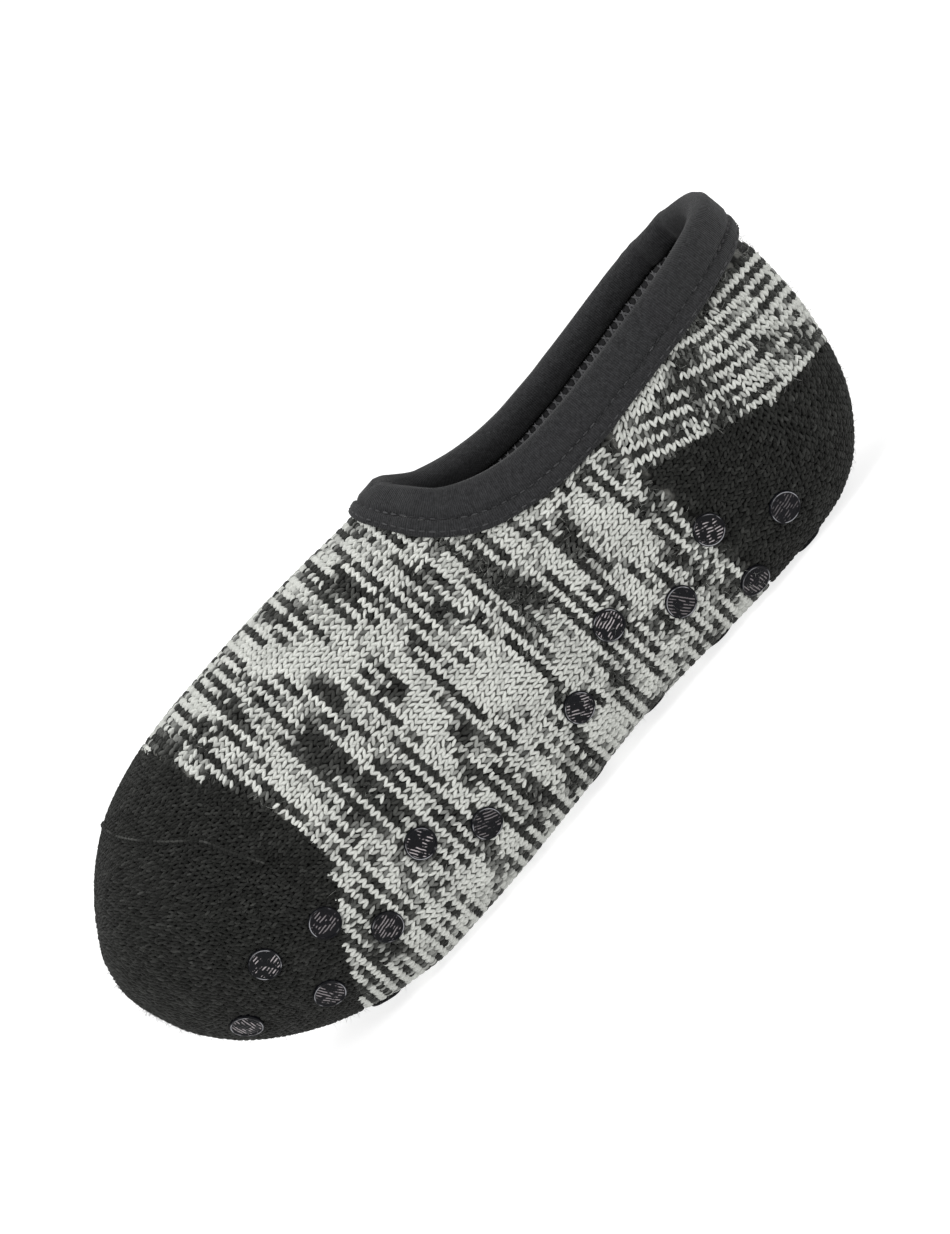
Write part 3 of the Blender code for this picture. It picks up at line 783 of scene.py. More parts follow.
class ThreadScatter:
    """Copies of one small shape over a set of points, each turned and stretched by its point."""

    INPUTS: dict[str, str] = {
        "Points": "Geometry",
        "Shape": "Object",
        "Size": "Float",
        "Size Spread": "Float",
        "Turn Spread": "Float",
        "Seed": "Int",
        "Finish": "Material",
    }

    def __init__(self) -> None:
        """Builds the node tree that all uses share."""
        self.tree = self._build()

    @staticmethod
    def _attribute(tree: bpy.types.NodeTree, name: str, kind: str) -> bpy.types.NodeSocket:
        """The output socket of a node that reads a named attribute."""
        node = add_node(tree, "GeometryNodeInputNamedAttribute", {"Name": name}, data_type=kind)
        return first_output(node)

    @staticmethod
    def _random(
        tree: bpy.types.NodeTree, kind: str, low: object, high: object, seed: object
    ) -> bpy.types.NodeSocket:
        """The output socket of a node that gives a random value from low to high for each point."""
        inputs = {"Min": low, "Max": high, "Seed": seed}
        return first_output(add_node(tree, "FunctionNodeRandomValue", inputs, data_type=kind))

    def _build(self) -> bpy.types.NodeTree:
        """The tree: instances on points, loosened a little at random, realized and given a finish."""
        tree = bpy.data.node_groups.new("thread_scatter", "GeometryNodeTree")
        for name, kind in self.INPUTS.items():
            tree.interface.new_socket(name, in_out="INPUT", socket_type="NodeSocket" + kind)
        tree.interface.new_socket("Pieces", in_out="OUTPUT", socket_type="NodeSocketGeometry")
        given = tree.nodes.new("NodeGroupInput").outputs
        shape = add_node(tree, "GeometryNodeObjectInfo", {"Object": given["Shape"]})
        low = product(tree, given["Turn Spread"], -1.0)
        loose = self._random(tree, "FLOAT_VECTOR", low, given["Turn Spread"], given["Seed"])
        euler = add_node(tree, "FunctionNodeEulerToRotation", {0: loose})
        turns = {0: self._attribute(tree, "turn", "QUATERNION"), 1: euler.outputs[0]}
        turn = add_node(tree, "FunctionNodeRotateRotation", turns, rotation_space="LOCAL")
        grow = self._random(tree, "FLOAT", -1.0, 1.0, given["Seed"])
        grown = {0: grow, 1: given["Size Spread"], 2: 1.0}
        share = add_node(tree, "ShaderNodeMath", grown, operation="MULTIPLY_ADD")
        size = product(tree, share.outputs[0], given["Size"])
        scaled = {0: self._attribute(tree, "stretch", "FLOAT_VECTOR"), "Scale": size}
        stretch = add_node(tree, "ShaderNodeVectorMath", scaled, operation="SCALE")
        placed = {
            "Points": given["Points"],
            "Instance": shape.outputs["Geometry"],
            "Rotation": turn.outputs[0],
            "Scale": stretch.outputs[0],
        }
        place = add_node(tree, "GeometryNodeInstanceOnPoints", placed)
        real = add_node(tree, "GeometryNodeRealizeInstances", {0: place.outputs[0]})
        dressed = {"Geometry": real.outputs[0], "Material": given["Finish"]}
        dress = add_node(tree, "GeometryNodeSetMaterial", dressed)
        add_node(tree, "NodeGroupOutput", {0: dress.outputs[0]})
        return tree

    def scatter(
        self,
        name: str,
        shape: bpy.types.Object,
        points: np.ndarray,
        axes: np.ndarray,
        tone: np.ndarray,
        finish: bpy.types.Material,
        loose: tuple[float, float],
        seed: int,
        stretch: np.ndarray | None = None,
    ) -> bpy.types.Object:
        """Lays copies of a shape on points.

        Args:
            name: Name of the finished piece.
            shape: The shape to copy. It is removed afterwards.
            points: Where the copies go.
            axes: For each point, the directions of the shape's x, y and z as rows.
            tone: For each point, its tone, which the finish reads.
            finish: The material.
            loose: Random spread of size, as a share, and of turn, in radians.
            seed: Seed of that spread.
            stretch: For each point, the shape's scale along its own x, y and z, or None for one.

        Returns:
            The finished piece as a plain mesh.
        """
        host = mesh_object(name, points, [])
        turns = [Matrix(rows.T.tolist()).to_quaternion() for rows in axes]
        stretch = np.ones((len(points), 3)) if stretch is None else stretch
        turn_of = host.data.attributes.new("turn", "QUATERNION", "POINT").data
        turn_of.foreach_set("value", np.array([tuple(turn) for turn in turns], np.float32).ravel())
        stretch_of = host.data.attributes.new("stretch", "FLOAT_VECTOR", "POINT").data
        stretch_of.foreach_set("vector", np.asarray(stretch, np.float32).ravel())
        float_attribute(host.data, "tone", tone)
        modifier = host.modifiers.new("threads", "NODES")
        modifier.node_group = self.tree
        spreads = {"Size": 1.0, "Size Spread": loose[0], "Turn Spread": loose[1]}
        given = {"Shape": shape, "Seed": seed, "Finish": finish, **spreads}
        for item in self.tree.interface.items_tree:
            if item.item_type == "SOCKET" and item.in_out == "INPUT" and item.name in given:
                modifier[item.identifier] = given[item.name]
        graph = bpy.context.evaluated_depsgraph_get()
        mesh = bpy.data.meshes.new_from_object(
            host.evaluated_get(graph), preserve_all_data_layers=True, depsgraph=graph
        )
        mesh.name = name
        host.modifiers.remove(modifier)
        host.data = mesh
        for left_over in ("turn", "stretch"):
            if left_over in mesh.attributes:
                mesh.attributes.remove(mesh.attributes[left_over])
        bpy.data.objects.remove(shape, do_unlink=True)
        return host


def noise(
    tree: bpy.types.NodeTree, scale: object, detail: float = 2.0, roughness: float = 0.5
) -> bpy.types.NodeSocket:
    """A noise on the piece's own place, in metres.

    Args:
        tree: The tree.
        scale: Its scale, or the socket that gives it.
        detail: Number of finer layers.
        roughness: Share of each finer layer.

    Returns:
        The noise's socket.
    """
    place = tree.nodes.new("ShaderNodeTexCoord").outputs["Object"]
    inputs = {"Vector": place, "Scale": scale, "Detail": detail, "Roughness": roughness}
    return add_node(tree, "ShaderNodeTexNoise", inputs).outputs[0]


def between(tree: bpy.types.NodeTree, value: object, low: float, high: float) -> bpy.types.NodeSocket:
    """A value's share of the way from low to high, held from 0 to 1."""
    inputs = {"Value": value, "From Min": low, "From Max": high}
    return add_node(tree, "ShaderNodeMapRange", inputs).outputs["Result"]


def waves(
    tree: bpy.types.NodeTree, uv_map: str, direction: str, pitch: float, distortion: float, detail: float
) -> bpy.types.NodeSocket:
    """Waves on a piece's own map in metres.

    Args:
        tree: The material's tree.
        uv_map: Name of the map.
        direction: The axis of the map that they follow each other along.
        pitch: Distance from one wave to the next.
        distortion: How far they wander.
        detail: Number of finer layers of the wandering.

    Returns:
        The socket of their height.
    """
    place = add_node(tree, "ShaderNodeUVMap", {}, uv_map=uv_map).outputs["UV"]
    inputs = {"Vector": place, "Scale": math.pi / (10 * pitch), "Distortion": distortion, "Detail": detail}
    return add_node(tree, "ShaderNodeTexWave", inputs, bands_direction=direction).outputs["Fac"]


def attribute(tree: bpy.types.NodeTree, name: str) -> bpy.types.NodeSocket:
    """The value of a piece's own attribute."""
    return add_node(tree, "ShaderNodeAttribute", {}, attribute_name=name).outputs["Fac"]


def bumped(tree: bpy.types.NodeTree, **inputs: object) -> bpy.types.NodeSocket:
    """A bump's normal, from its Height, Strength and Distance and the Normal under it."""
    return add_node(tree, "ShaderNodeBump", inputs).outputs["Normal"]


def fibre_grain() -> bpy.types.NodeTree:
    """Shader group for the fine fibres of yarn and cloth: a shade and a bumped normal."""
    group = bpy.data.node_groups.new("fibre_grain", "ShaderNodeTree")
    sockets = group.interface
    for name, value in (("Grain Scale", 3000.0), ("Grain Depth", 0.5), ("Blotch Scale", 120.0)):
        sockets.new_socket(name, in_out="INPUT", socket_type="NodeSocketFloat").default_value = value
    sockets.new_socket("Shade", in_out="OUTPUT", socket_type="NodeSocketFloat")
    sockets.new_socket("Normal", in_out="OUTPUT", socket_type="NodeSocketVector")
    given = group.nodes.new("NodeGroupInput").outputs
    grain = noise(group, given["Grain Scale"], 3.0, 0.65)
    blotch = noise(group, given["Blotch Scale"])
    both = add_node(group, "ShaderNodeMath", {0: grain, 1: blotch}, operation="ADD").outputs[0]
    normal = bumped(group, Height=grain, Strength=given["Grain Depth"], Distance=0.0002)
    add_node(group, "NodeGroupOutput", {"Shade": between(group, both, 0.6, 1.4), "Normal": normal})
    return group


def new_finish(name: str) -> tuple[bpy.types.Material, bpy.types.Node]:
    """A new material and its shader node."""
    made = bpy.data.materials.new(name)
    made.use_nodes = True
    return made, made.node_tree.nodes["Principled BSDF"]


def mixed(
    tree: bpy.types.NodeTree, kind: str, factor: object, a: object, b: object
) -> bpy.types.NodeSocket:
    """A colour mix node.

    Args:
        tree: The material's tree.
        kind: The way of mixing.
        factor: A number, or the socket that gives it.
        a: The first colour or its socket.
        b: The second colour or its socket.

    Returns:
        The mixed colour's socket.
    """
    a, b = ((*value, 1.0) if isinstance(value, tuple) else value for value in (a, b))
    inputs = {0: factor, 6: a, 7: b}
    return add_node(tree, "ShaderNodeMix", inputs, data_type="RGBA", blend_type=kind).outputs[2]


@dataclass(frozen=True)
class YarnFinish:
    """Woollen yarn that runs between charcoal and light by the piece's tone."""

    name: str
    dark: tuple[float, float, float]
    light: tuple[float, float, float]
    roughness: float = 0.92
    sheen: float = 0.05
    grain_scale: float = 2600.0
    grain_depth: float = 0.55
    shade_low: float = 0.72

    def make(self, grain: bpy.types.NodeTree) -> bpy.types.Material:
        """Builds the material.

        Args:
            grain: The shared fibre grain group.

        Returns:
            The material.
        """
        made, shader = new_finish(self.name)
        tree = made.node_tree
        grains = {"Grain Scale": self.grain_scale, "Grain Depth": self.grain_depth}
        fibres = add_node(tree, "ShaderNodeGroup", grains, node_tree=grain)
        colour = mixed(tree, "MIX", attribute(tree, "tone"), self.dark, self.light)
        shade = mixed(tree, "MIX", fibres.outputs["Shade"], (self.shade_low,) * 3, (1.0, 1.0, 1.0))
        inputs = {
            "Base Color": mixed(tree, "MULTIPLY", 1.0, colour, shade),
            "Normal": fibres.outputs["Normal"],
            "Roughness": self.roughness,
            "Sheen Weight": self.sheen,
            "Sheen Roughness": 0.6,
            "Specular IOR Level": 0.12,
        }
        feed(tree, shader, inputs)
        return made


@dataclass(frozen=True)
class JerseyFinish:
    """Fine charcoal jersey, with ribs across the folded strip and painted shade darkening the furrows
    between them.
    """

    name: str = "charcoal_jersey"
    colour: tuple[float, float, float] = (0.0060, 0.0061, 0.0067)
    highlight: tuple[float, float, float] = (0.0350, 0.0355, 0.0375)
    rib: float = 0.00056
    # Painted shade: share of the colour left in the furrows between the ribs
    painted_furrow_shade: float = 0.58
    roughness: float = 0.82

    def make(self, grain: bpy.types.NodeTree) -> bpy.types.Material:
        """Builds the material, whose ribs follow the strip's own map in metres.

        Args:
            grain: The shared fibre grain group.

        Returns:
            The material.
        """
        made, shader = new_finish(self.name)
        tree = made.node_tree
        grains = {"Grain Scale": 2400.0, "Grain Depth": 0.6, "Blotch Scale": 1100.0}
        fibres = add_node(tree, "ShaderNodeGroup", grains, node_tree=grain)
        ribs = waves(tree, "strip", "X", self.rib, 1.6, 1.0)
        colour = mixed(tree, "MIX", fibres.outputs["Shade"], self.colour, self.highlight)
        # Painted shade: the colour darkened where the ribs sink
        painted_furrow_shade = mixed(tree, "MIX", ribs, (self.painted_furrow_shade,) * 3, (1.0, 1.0, 1.0))
        normal = bumped(tree, Height=ribs, Strength=0.8, Distance=0.00014, Normal=fibres.outputs["Normal"])
        inputs = {
            "Base Color": mixed(tree, "MULTIPLY", 1.0, colour, painted_furrow_shade),
            "Normal": normal,
            "Roughness": self.roughness,
            "Sheen Weight": 0.06,
            "Sheen Roughness": 0.5,
            "Specular IOR Level": 0.18,
        }
        feed(tree, shader, inputs)
        return made


@dataclass(frozen=True)
class SiliconeFinish:
    """Dark moulded silicone with the weave of its mould left on its face, painted reflection streaks over
    that face, and a painted highlight along the rim.
    """

    name: str = "grip_silicone"
    colour: tuple[float, float, float] = (0.0035, 0.0037, 0.0050)
    # Painted reflection: a light grey mixed into the faces in streaks, in place of their shine
    painted_reflection: tuple[float, float, float] = (0.42, 0.38, 0.39)
    # Painted highlight: a light grey laid in broken arcs on the crest of each dot's rim
    edge: tuple[float, float, float] = (0.34, 0.34, 0.36)
    mesh_pitch: float = 0.0008
    spot_scale: float = 520.0
    arc_scale: float = 260.0
    roughness: float = 0.30

    def make(self) -> bpy.types.Material:
        """Builds the material, whose mould weave and painted reflection streaks follow each dot's own map
        in metres.
        """
        made, shader = new_finish(self.name)
        tree = made.node_tree
        along, across = (waves(tree, "dot", way, self.mesh_pitch, 2.2, 2.0) for way in ("X", "Y"))
        face = attribute(tree, "face")
        weave = product(tree, product(tree, along, across), face)
        spots = between(tree, noise(tree, self.spot_scale, 3.0), 0.49, 0.55)
        strokes = product(tree, between(tree, along, 0.60, 0.85), face)
        # Painted reflection: streaks of the weave, in spots, as strong as each dot's own share
        painted_reflection_mask = product(tree, product(tree, spots, strokes), attribute(tree, "painted_reflection"))
        # Painted highlight: broken arcs of light grey on the crest of the rim
        arcs = between(tree, noise(tree, self.arc_scale), 0.47, 0.60)
        painted_rim_highlight = product(tree, arcs, attribute(tree, "rim"))
        colour = mixed(tree, "MIX", painted_reflection_mask, self.colour, self.painted_reflection)
        inputs = {
            "Base Color": mixed(tree, "MIX", painted_rim_highlight, colour, self.edge),
            "Normal": bumped(tree, Height=weave, Strength=0.8, Distance=0.00012),
            "Roughness": self.roughness,
            "Specular IOR Level": 0.05,
            "Coat Weight": 0.10,
            "Coat Roughness": 0.07,
        }
        feed(tree, shader, inputs)
        return made


@dataclass
class KnittedBody:
    """The knit: a hollow backing, and on it every stitch of the outside.

    Lengths are in metres. The charcoal courses are a pitch apart along toe_line and heel_line, which
    are shares of the half girth. The noises are spreads of chance.
    """

    form: SockForm
    marl: Marl
    threads: ThreadScatter
    course_pitch: float = 0.00182
    wale_pitch: float = 0.00205
    wales_per_side: int = 59
    marl_start: float = 0.030
    waist_start: float = 0.098
    fan_start: float = 0.1785
    fan_courses: int = 17
    fan_number: int = 201
    fan_edge: float = 0.0015
    fan_backing_tone: float = 0.5
    toe_pitches: tuple[float, float] = (0.00130, 0.00145)
    toe_line: float = 0.50
    heel_pitches: tuple[float, float] = (0.00165, 0.00190)
    heel_line: float = 0.22
    backing_depth: float = 0.00050
    leg_length: float = 0.0023
    leg_width: float = 0.00098
    leg_height: float = 0.00052
    leg_spread: float = 0.37
    leg_middle: float = 0.255
    leg_overlap: float = 1.28
    course_overlap: float = 1.02
    spread_noise: float = 0.11
    width_noise: float = 0.05
    place_noise: tuple[float, float] = (0.00010, 0.00009)
    lean_spread: float = 0.45
    lean_noise: float = 0.06
    lean_patch: tuple[float, float] = (0.009, 0.008)
    dark_noise: float = 0.017
    marl_noise: float = 0.07
    marl_base: float = 0.03
    marl_range: float = 0.93
    marl_limits: tuple[float, float] = (0.022, 1.1)
    hidden_rim: float = 0.0080
    fibres: int = 26000
    fibre_floor: float = 0.0042
    pale_fibres: tuple[float, float] = (0.10, 0.8)
    dark_fibres: tuple[float, float] = (0.0, 0.09)
    fibre_half_width: float = 0.000022
    fibre_line: tuple[tuple[float, float], ...] = (
        (0, 0),
        (0.00025, 0.0007),
        (0.0008, 0.0013),
        (0.0016, 0.0017),
    )

    def __post_init__(self) -> None:
        """Measures the wales just ahead of the throat, which keep their pitch behind it."""
        line, _ = self.form.slice_at(self.form.throat_from_toe - 0.0005)
        self.throat_pitch = run_along(line)[-1] / 2 / self.wales_per_side

    def zone_of(self, points: np.ndarray) -> np.ndarray:
        """The zone of each point, as an array of Zone members."""
        x, z = self.form.side_view(points)
        zone = np.full(x.shape, Zone.MARL, dtype=object)
        zone[x < np.interp(z, TOE_EDGE_Z, TOE_EDGE_X)] = Zone.TOE
        zone[x > self.fan_start / MM] = Zone.FAN
        zone[(x > HEEL_FRONT) & (z < np.interp(x, HEEL_EDGE_X, HEEL_EDGE_Z))] = Zone.HEEL
        return zone

    def backing(self, finishes: Sequence[bpy.types.Material]) -> bpy.types.Object:
        """The hollow wall under the stitches, with the inside of the sock.

        Args:
            finishes: Material of the outside, darker as painted shade in the gaps, then of the inside.

        Returns:
            The closed shell.
        """
        form = self.form
        outside = form.vertices - self.backing_depth * form.vertex_normals
        inside = form.vertices - form.wall * form.vertex_normals
        count = len(outside)
        faces = list(form.faces)
        faces += [tuple(k + count for k in reversed(face)) for face in form.faces]
        loop = form.rim()
        faces += [(a, b, b + count, a + count) for a, b in zip(loop, loop[1:] + loop[:1])]
        finish_of = [0] * len(form.faces) + [1] * (len(faces) - len(form.faces))
        made = mesh_object("knit_backing", np.concatenate([outside, inside]), faces, finishes, finish_of)
        made.data.validate()
        tones = self._backing_tones()
        float_attribute(made.data, "tone", np.concatenate([tones, tones]))
        return made

    def _backing_tones(self) -> np.ndarray:
        """Tones of the backing's points, from the course and the wale that lie on each."""
        form = self.form
        x, _ = form.side_view(form.grid)
        course = np.round((x * MM - self.marl_start) / self.course_pitch).astype(int)
        share = np.linspace(-1, 1, 2 * form.points_per_side + 1)
        around = form.half_girth[:, None] * share[None, :]
        tones = self.marl.tone(course, around, form.grid)
        zone = self.zone_of(form.grid)
        tones[(zone == Zone.TOE) | (zone == Zone.HEEL)] = 0.0
        # The backing above the heel is darker still: more painted shade between the stitches there
        tones[zone == Zone.FAN] *= self.fan_backing_tone
        return np.concatenate([[0.0], tones.ravel()])

    def _leg(self, name: str) -> bpy.types.Object:
        """One leg of a stitch, a plump length of yarn that sinks in at both ends."""
        vertices = [(-0.5 * self.leg_length, 0, -0.6 * self.leg_height)]
        for x, swell, high in ((-0.30, 0.80, 0.55), (0.02, 1.0, 1.0), (0.34, 0.80, 0.70)):
            for turn in (195, 125, 55, -15):
                angle = math.radians(turn)
                across = 0.5 * self.leg_width * swell * math.cos(angle)
                vertices.append((x * self.leg_length, across, self.leg_height * high * math.sin(angle)))
        vertices.append((0.54 * self.leg_length, 0, -0.5 * self.leg_height))
        faces = [(0, 2 + k, 1 + k) for k in range(3)]
        for row in (1, 5):
            faces += [(row + k, row + k + 1, row + k + 5, row + k + 4) for k in range(3)]
        faces += [(9 + k, 10 + k, 13) for k in range(3)]
        return mesh_object(name, np.array(vertices), faces)

    def _legs(
        self, points: np.ndarray, axes: np.ndarray, stretch: np.ndarray, chance: np.random.Generator
    ) -> tuple[np.ndarray, ...]:
        """Two legs for each stitch, which meet behind it, a little loose.

        Args:
            points: Places of the stitches.
            axes: Their directions: towards the toe, round the course, and out.
            stretch: Their scale along those directions.
            chance: Source of the looseness.

        Returns:
            Places, axes and scales of the legs, first all the left ones.
        """
        first, second, out = axes[:, 0], axes[:, 1], axes[:, 2]
        made = []
        for side in (1, -1):
            loose = chance.normal(0, 1, (4, len(points), 1))
            long = self.course_overlap * self.course_pitch * stretch[:, :1]
            wide = self.wale_pitch * stretch[:, 1:2]
            spread = self.leg_spread + self.spread_noise * loose[0]
            way = long * first + side * spread * wide * second
            centre = points + side * self.leg_middle * wide * second
            centre = centre + self.place_noise[0] * loose[1] * first
            centre = centre + self.place_noise[1] * loose[2] * second
            length = np.linalg.norm(way, axis=1, keepdims=True)
            across = np.clip(0.5 + 0.5 * stretch[:, 1:2], 0.7, 1.3) * (1 + self.width_noise * loose[3])
            size = (self.leg_overlap * length / self.leg_length, across, np.ones_like(across))
            made.append((centre, axes_of(way / length, out), np.concatenate(size, axis=1)))
        return tuple(np.concatenate(values) for values in zip(*made))

    def _course_points(
        self, ring: float, step: float, wales: np.ndarray, pitch: float
    ) -> tuple[np.ndarray, ...]:
        """Places, axes, stretches and distances round of the stitches of one charcoal course.

        Args:
            ring: Place of the course along the rings.
            step: Rings from this course to the next.
            wales: Signed distances of the wales from the middle of the sole.
            pitch: Distance from one wale to the next.

        Returns:
            The four arrays.
        """
        form = self.form
        at = np.full(wales.shape, ring)
        share = wales / form.girth_at(at)
        normals = unit(form.at(at, share, form.normals))
        ahead, behind = at - step / 2, at + step / 2
        along = form.at(ahead, wales / form.girth_at(ahead))
        along = along - form.at(behind, wales / form.girth_at(behind))
        stretch = np.ones((len(wales), 3))
        stretch[:, 0] = np.linalg.norm(along, axis=1) / self.course_pitch
        stretch[:, 1] = pitch / self.wale_pitch
        return form.at(at, share), axes_of(laid_on(along, normals), normals), stretch, wales

    def _slice_points(self, behind: float) -> tuple[np.ndarray, ...]:
        """Places, axes, stretches and distances round of the stitches of one upright course.

        Args:
            behind: Distance of the course behind the tip.

        Returns:
            The four arrays.
        """
        form = self.form
        line, normals = form.slice_at(behind)
        run = run_along(line)
        run -= run[form.points_per_side]
        half = min(run[-1], -run[0])
        opened = behind > form.throat_from_toe
        pitch = self.throat_pitch if opened else half / self.wales_per_side
        count = min(self.wales_per_side, int(half / pitch + 0.5))
        wales = (np.arange(-count, count) + 0.5) * pitch
        if opened:
            wales = wales[np.abs(wales) < half - self.hidden_rim]
        out = unit(along_line(normals, run, wales))
        first = laid_on(np.array([1.0, 0.0, 0.0]), out)
        stretch = np.ones((len(wales), 3))
        stretch[:, 0] = 1 / np.maximum(first[:, 0], 0.5)
        stretch[:, 1] = pitch / self.wale_pitch
        return along_line(line, run, wales), axes_of(first, out), stretch, wales

    def _fan_line(self, number: float) -> np.ndarray:
        """A course above the heel in the side view, between the two drawn courses beside it."""
        places = [course.number for course in HEEL_COURSES]
        k = int(np.clip(np.searchsorted(places, number) - 1, 0, len(places) - 2))
        share = (number - places[k]) / (places[k + 1] - places[k])
        pair = []
        for course in HEEL_COURSES[k : k + 2]:
            drawn = np.array([course.x, course.z], float).T
            run = run_along(drawn)
            pair.append(along_line(drawn, run, np.linspace(0, run[-1], 40)))
        return pair[0] * (1 - share) + pair[1] * share

    def _fan_points(self, number: int, before: np.ndarray | None) -> tuple[np.ndarray, ...]:
        """Places, axes, stretches and distances round of the stitches of one course above the heel.

        Args:
            number: Place of the course, counted up the back from the charcoal.
            before: The left stitches of the course below, which the wales run on from.

        Returns:
            The four arrays, for both sides, the left one first.
        """
        form = self.form
        side = self._fan_line(number)
        found = [form.from_side(*place) for place in side]
        left = np.array([point for point in found if point is not None and point[1] > self.fan_edge])
        slope = unit(np.gradient(side, axis=0))
        across = self._fan_line(number + 0.5) - self._fan_line(number - 0.5)
        gap = np.abs(across[:, 0] * slope[:, 1] - across[:, 1] * slope[:, 0])[: len(left)] * MM
        line = np.concatenate([left, [form.back_at(side[-1, 1])]])[::-1]
        gap = np.append(gap, gap[-1])[::-1]
        run = run_along(line)
        around = np.arange(0.5 * self.wale_pitch, run[-1], self.wale_pitch)
        if before is not None:
            even = np.linspace(0, run[-1], 600)
            fine = along_line(line, run, even)
            closest = np.linalg.norm(fine[None] - before[:, None], axis=2).argmin(axis=1)
            around = np.unique(even[closest[(closest > 0) & (closest < len(even) - 1)]])
        drawn = along_line(line, run, around)
        points, out = form.nearest_all(drawn)
        first = unit(np.cross(out, np.gradient(drawn, axis=0)))
        stretch = np.ones((len(around), 3))
        stretch[:, 0] = np.clip(np.interp(around, run, gap) / self.course_pitch, 0.7, 1.35)
        stretch[:, 1] = np.clip(np.gradient(around) / self.wale_pitch, 0.6, 1.4)
        mirror = np.array([1.0, -1.0, 1.0])
        axes = np.concatenate([axes_of(first, out), axes_of(first * mirror, out * mirror)])
        points = np.concatenate([points, points * mirror])
        return points, axes, np.concatenate([stretch, stretch]), np.concatenate([around, -around])

    def _dark_points(self, zone: Zone) -> list[tuple[np.ndarray, ...]]:
        """What _course_points() gives for each course of the charcoal toe or heel."""
        form = self.form
        along, around = self.toe_pitches if zone is Zone.TOE else self.heel_pitches
        places = form.courses(self.toe_line if zone is Zone.TOE else self.heel_line, along)
        made = []
        for number, ring in enumerate(places):
            step = places[min(number + 1, len(places) - 1)] - places[max(number - 1, 0)]
            step /= 2 if 0 < number < len(places) - 1 else 1
            girth = float(form.girth_at(ring))
            pitch = girth / max(3, round(girth / around))
            count = int(girth / pitch + 0.5)
            wales = (np.arange(-count, count) + 0.5) * pitch
            made.append(self._course_points(float(ring), float(step), wales, pitch))
        return made

    def _in_zone(self, zone: Zone, number: int, *values: np.ndarray) -> list[np.ndarray]:
        """Those stitches of a course that lie in a zone.

        Args:
            zone: The zone.
            number: Number of the course.
            values: The stitches' places first, then what else is known of them.

        Returns:
            The same arrays for the kept stitches, and the number of the course for each.
        """
        kept = self.zone_of(values[0]) == zone
        return [array[kept] for array in (*values, np.full(len(kept), number))]

    def _courses(self) -> dict[str, list[list[np.ndarray]]]:
        """Places, axes, stretches, distances round and course numbers of all stitches, by piece."""
        groups = {name: [] for name in ("toe", "instep", "waist", "heel_fan", "heel")}
        for number, behind in enumerate(np.arange(self.marl_start, self.fan_start, self.course_pitch)):
            name = "instep" if behind < self.waist_start else "waist"
            groups[name].append(self._in_zone(Zone.MARL, number, *self._slice_points(float(behind))))
        before = None
        for number in range(self.fan_courses):
            course = self._fan_points(number, before)
            before = course[0][: len(course[0]) // 2]
            groups["heel_fan"].append(self._in_zone(Zone.FAN, number + self.fan_number, *course))
        for zone in (Zone.TOE, Zone.HEEL):
            for course in self._dark_points(zone):
                groups[zone.value].append(self._in_zone(zone, 0, *course))
        return groups

    def _leaned(self, points: np.ndarray, axes: np.ndarray, chance: np.random.Generator) -> np.ndarray:
        """The axes of stitches turned a little on the knit, much alike for neighbours.

        Args:
            points: Places of the stitches.
            axes: Their axes.
            chance: Source of each stitch's own share of the turn.

        Returns:
            The turned axes.
        """
        row = points[:, 0] / self.lean_patch[0] + 50
        column = points[:, 2] / self.lean_patch[1] + 20 + (points[:, 1] > 0) * 40
        lean = self.lean_spread * (value_noise(row, column, 41) - 0.5)
        lean = (lean + chance.normal(0, self.lean_noise, len(points)))[:, None]
        return axes_of(np.cos(lean) * axes[:, 0] + np.sin(lean) * axes[:, 1], axes[:, 2])

    def stitches(self, finish: bpy.types.Material) -> list[bpy.types.Object]:
        """All the stitches of the outside, as one piece for each part of the knit.

        Args:
            finish: The yarn.

        Returns:
            The pieces.
        """
        made = []
        chance = np.random.default_rng(17)
        for order, (name, courses) in enumerate(self._courses().items()):
            points, axes, stretch, around, course = (np.concatenate(values) for values in zip(*courses))
            axes = self._leaned(points, axes, chance)
            legs, turned, size = self._legs(points, axes, stretch, chance)
            if name in (Zone.TOE.value, Zone.HEEL.value):
                tone = np.abs(chance.normal(0, self.dark_noise, len(legs)))
            else:
                side = np.repeat((0.25, -0.25), len(points)) * self.wale_pitch
                tone = self.marl.tone(np.tile(course, 2), np.tile(around, 2) + side, legs)
                tone = self.marl_base + self.marl_range * tone
                tone = np.clip(tone + chance.normal(0, self.marl_noise, len(tone)), *self.marl_limits)
            loose = (0.08, 0.20 if name == Zone.TOE.value else 0.10)
            shape, piece = self._leg(name + "_leg"), "stitches_" + name
            made.append(
                self.threads.scatter(piece, shape, legs, turned, tone, finish, loose, 20 + order, size)
            )
        return made

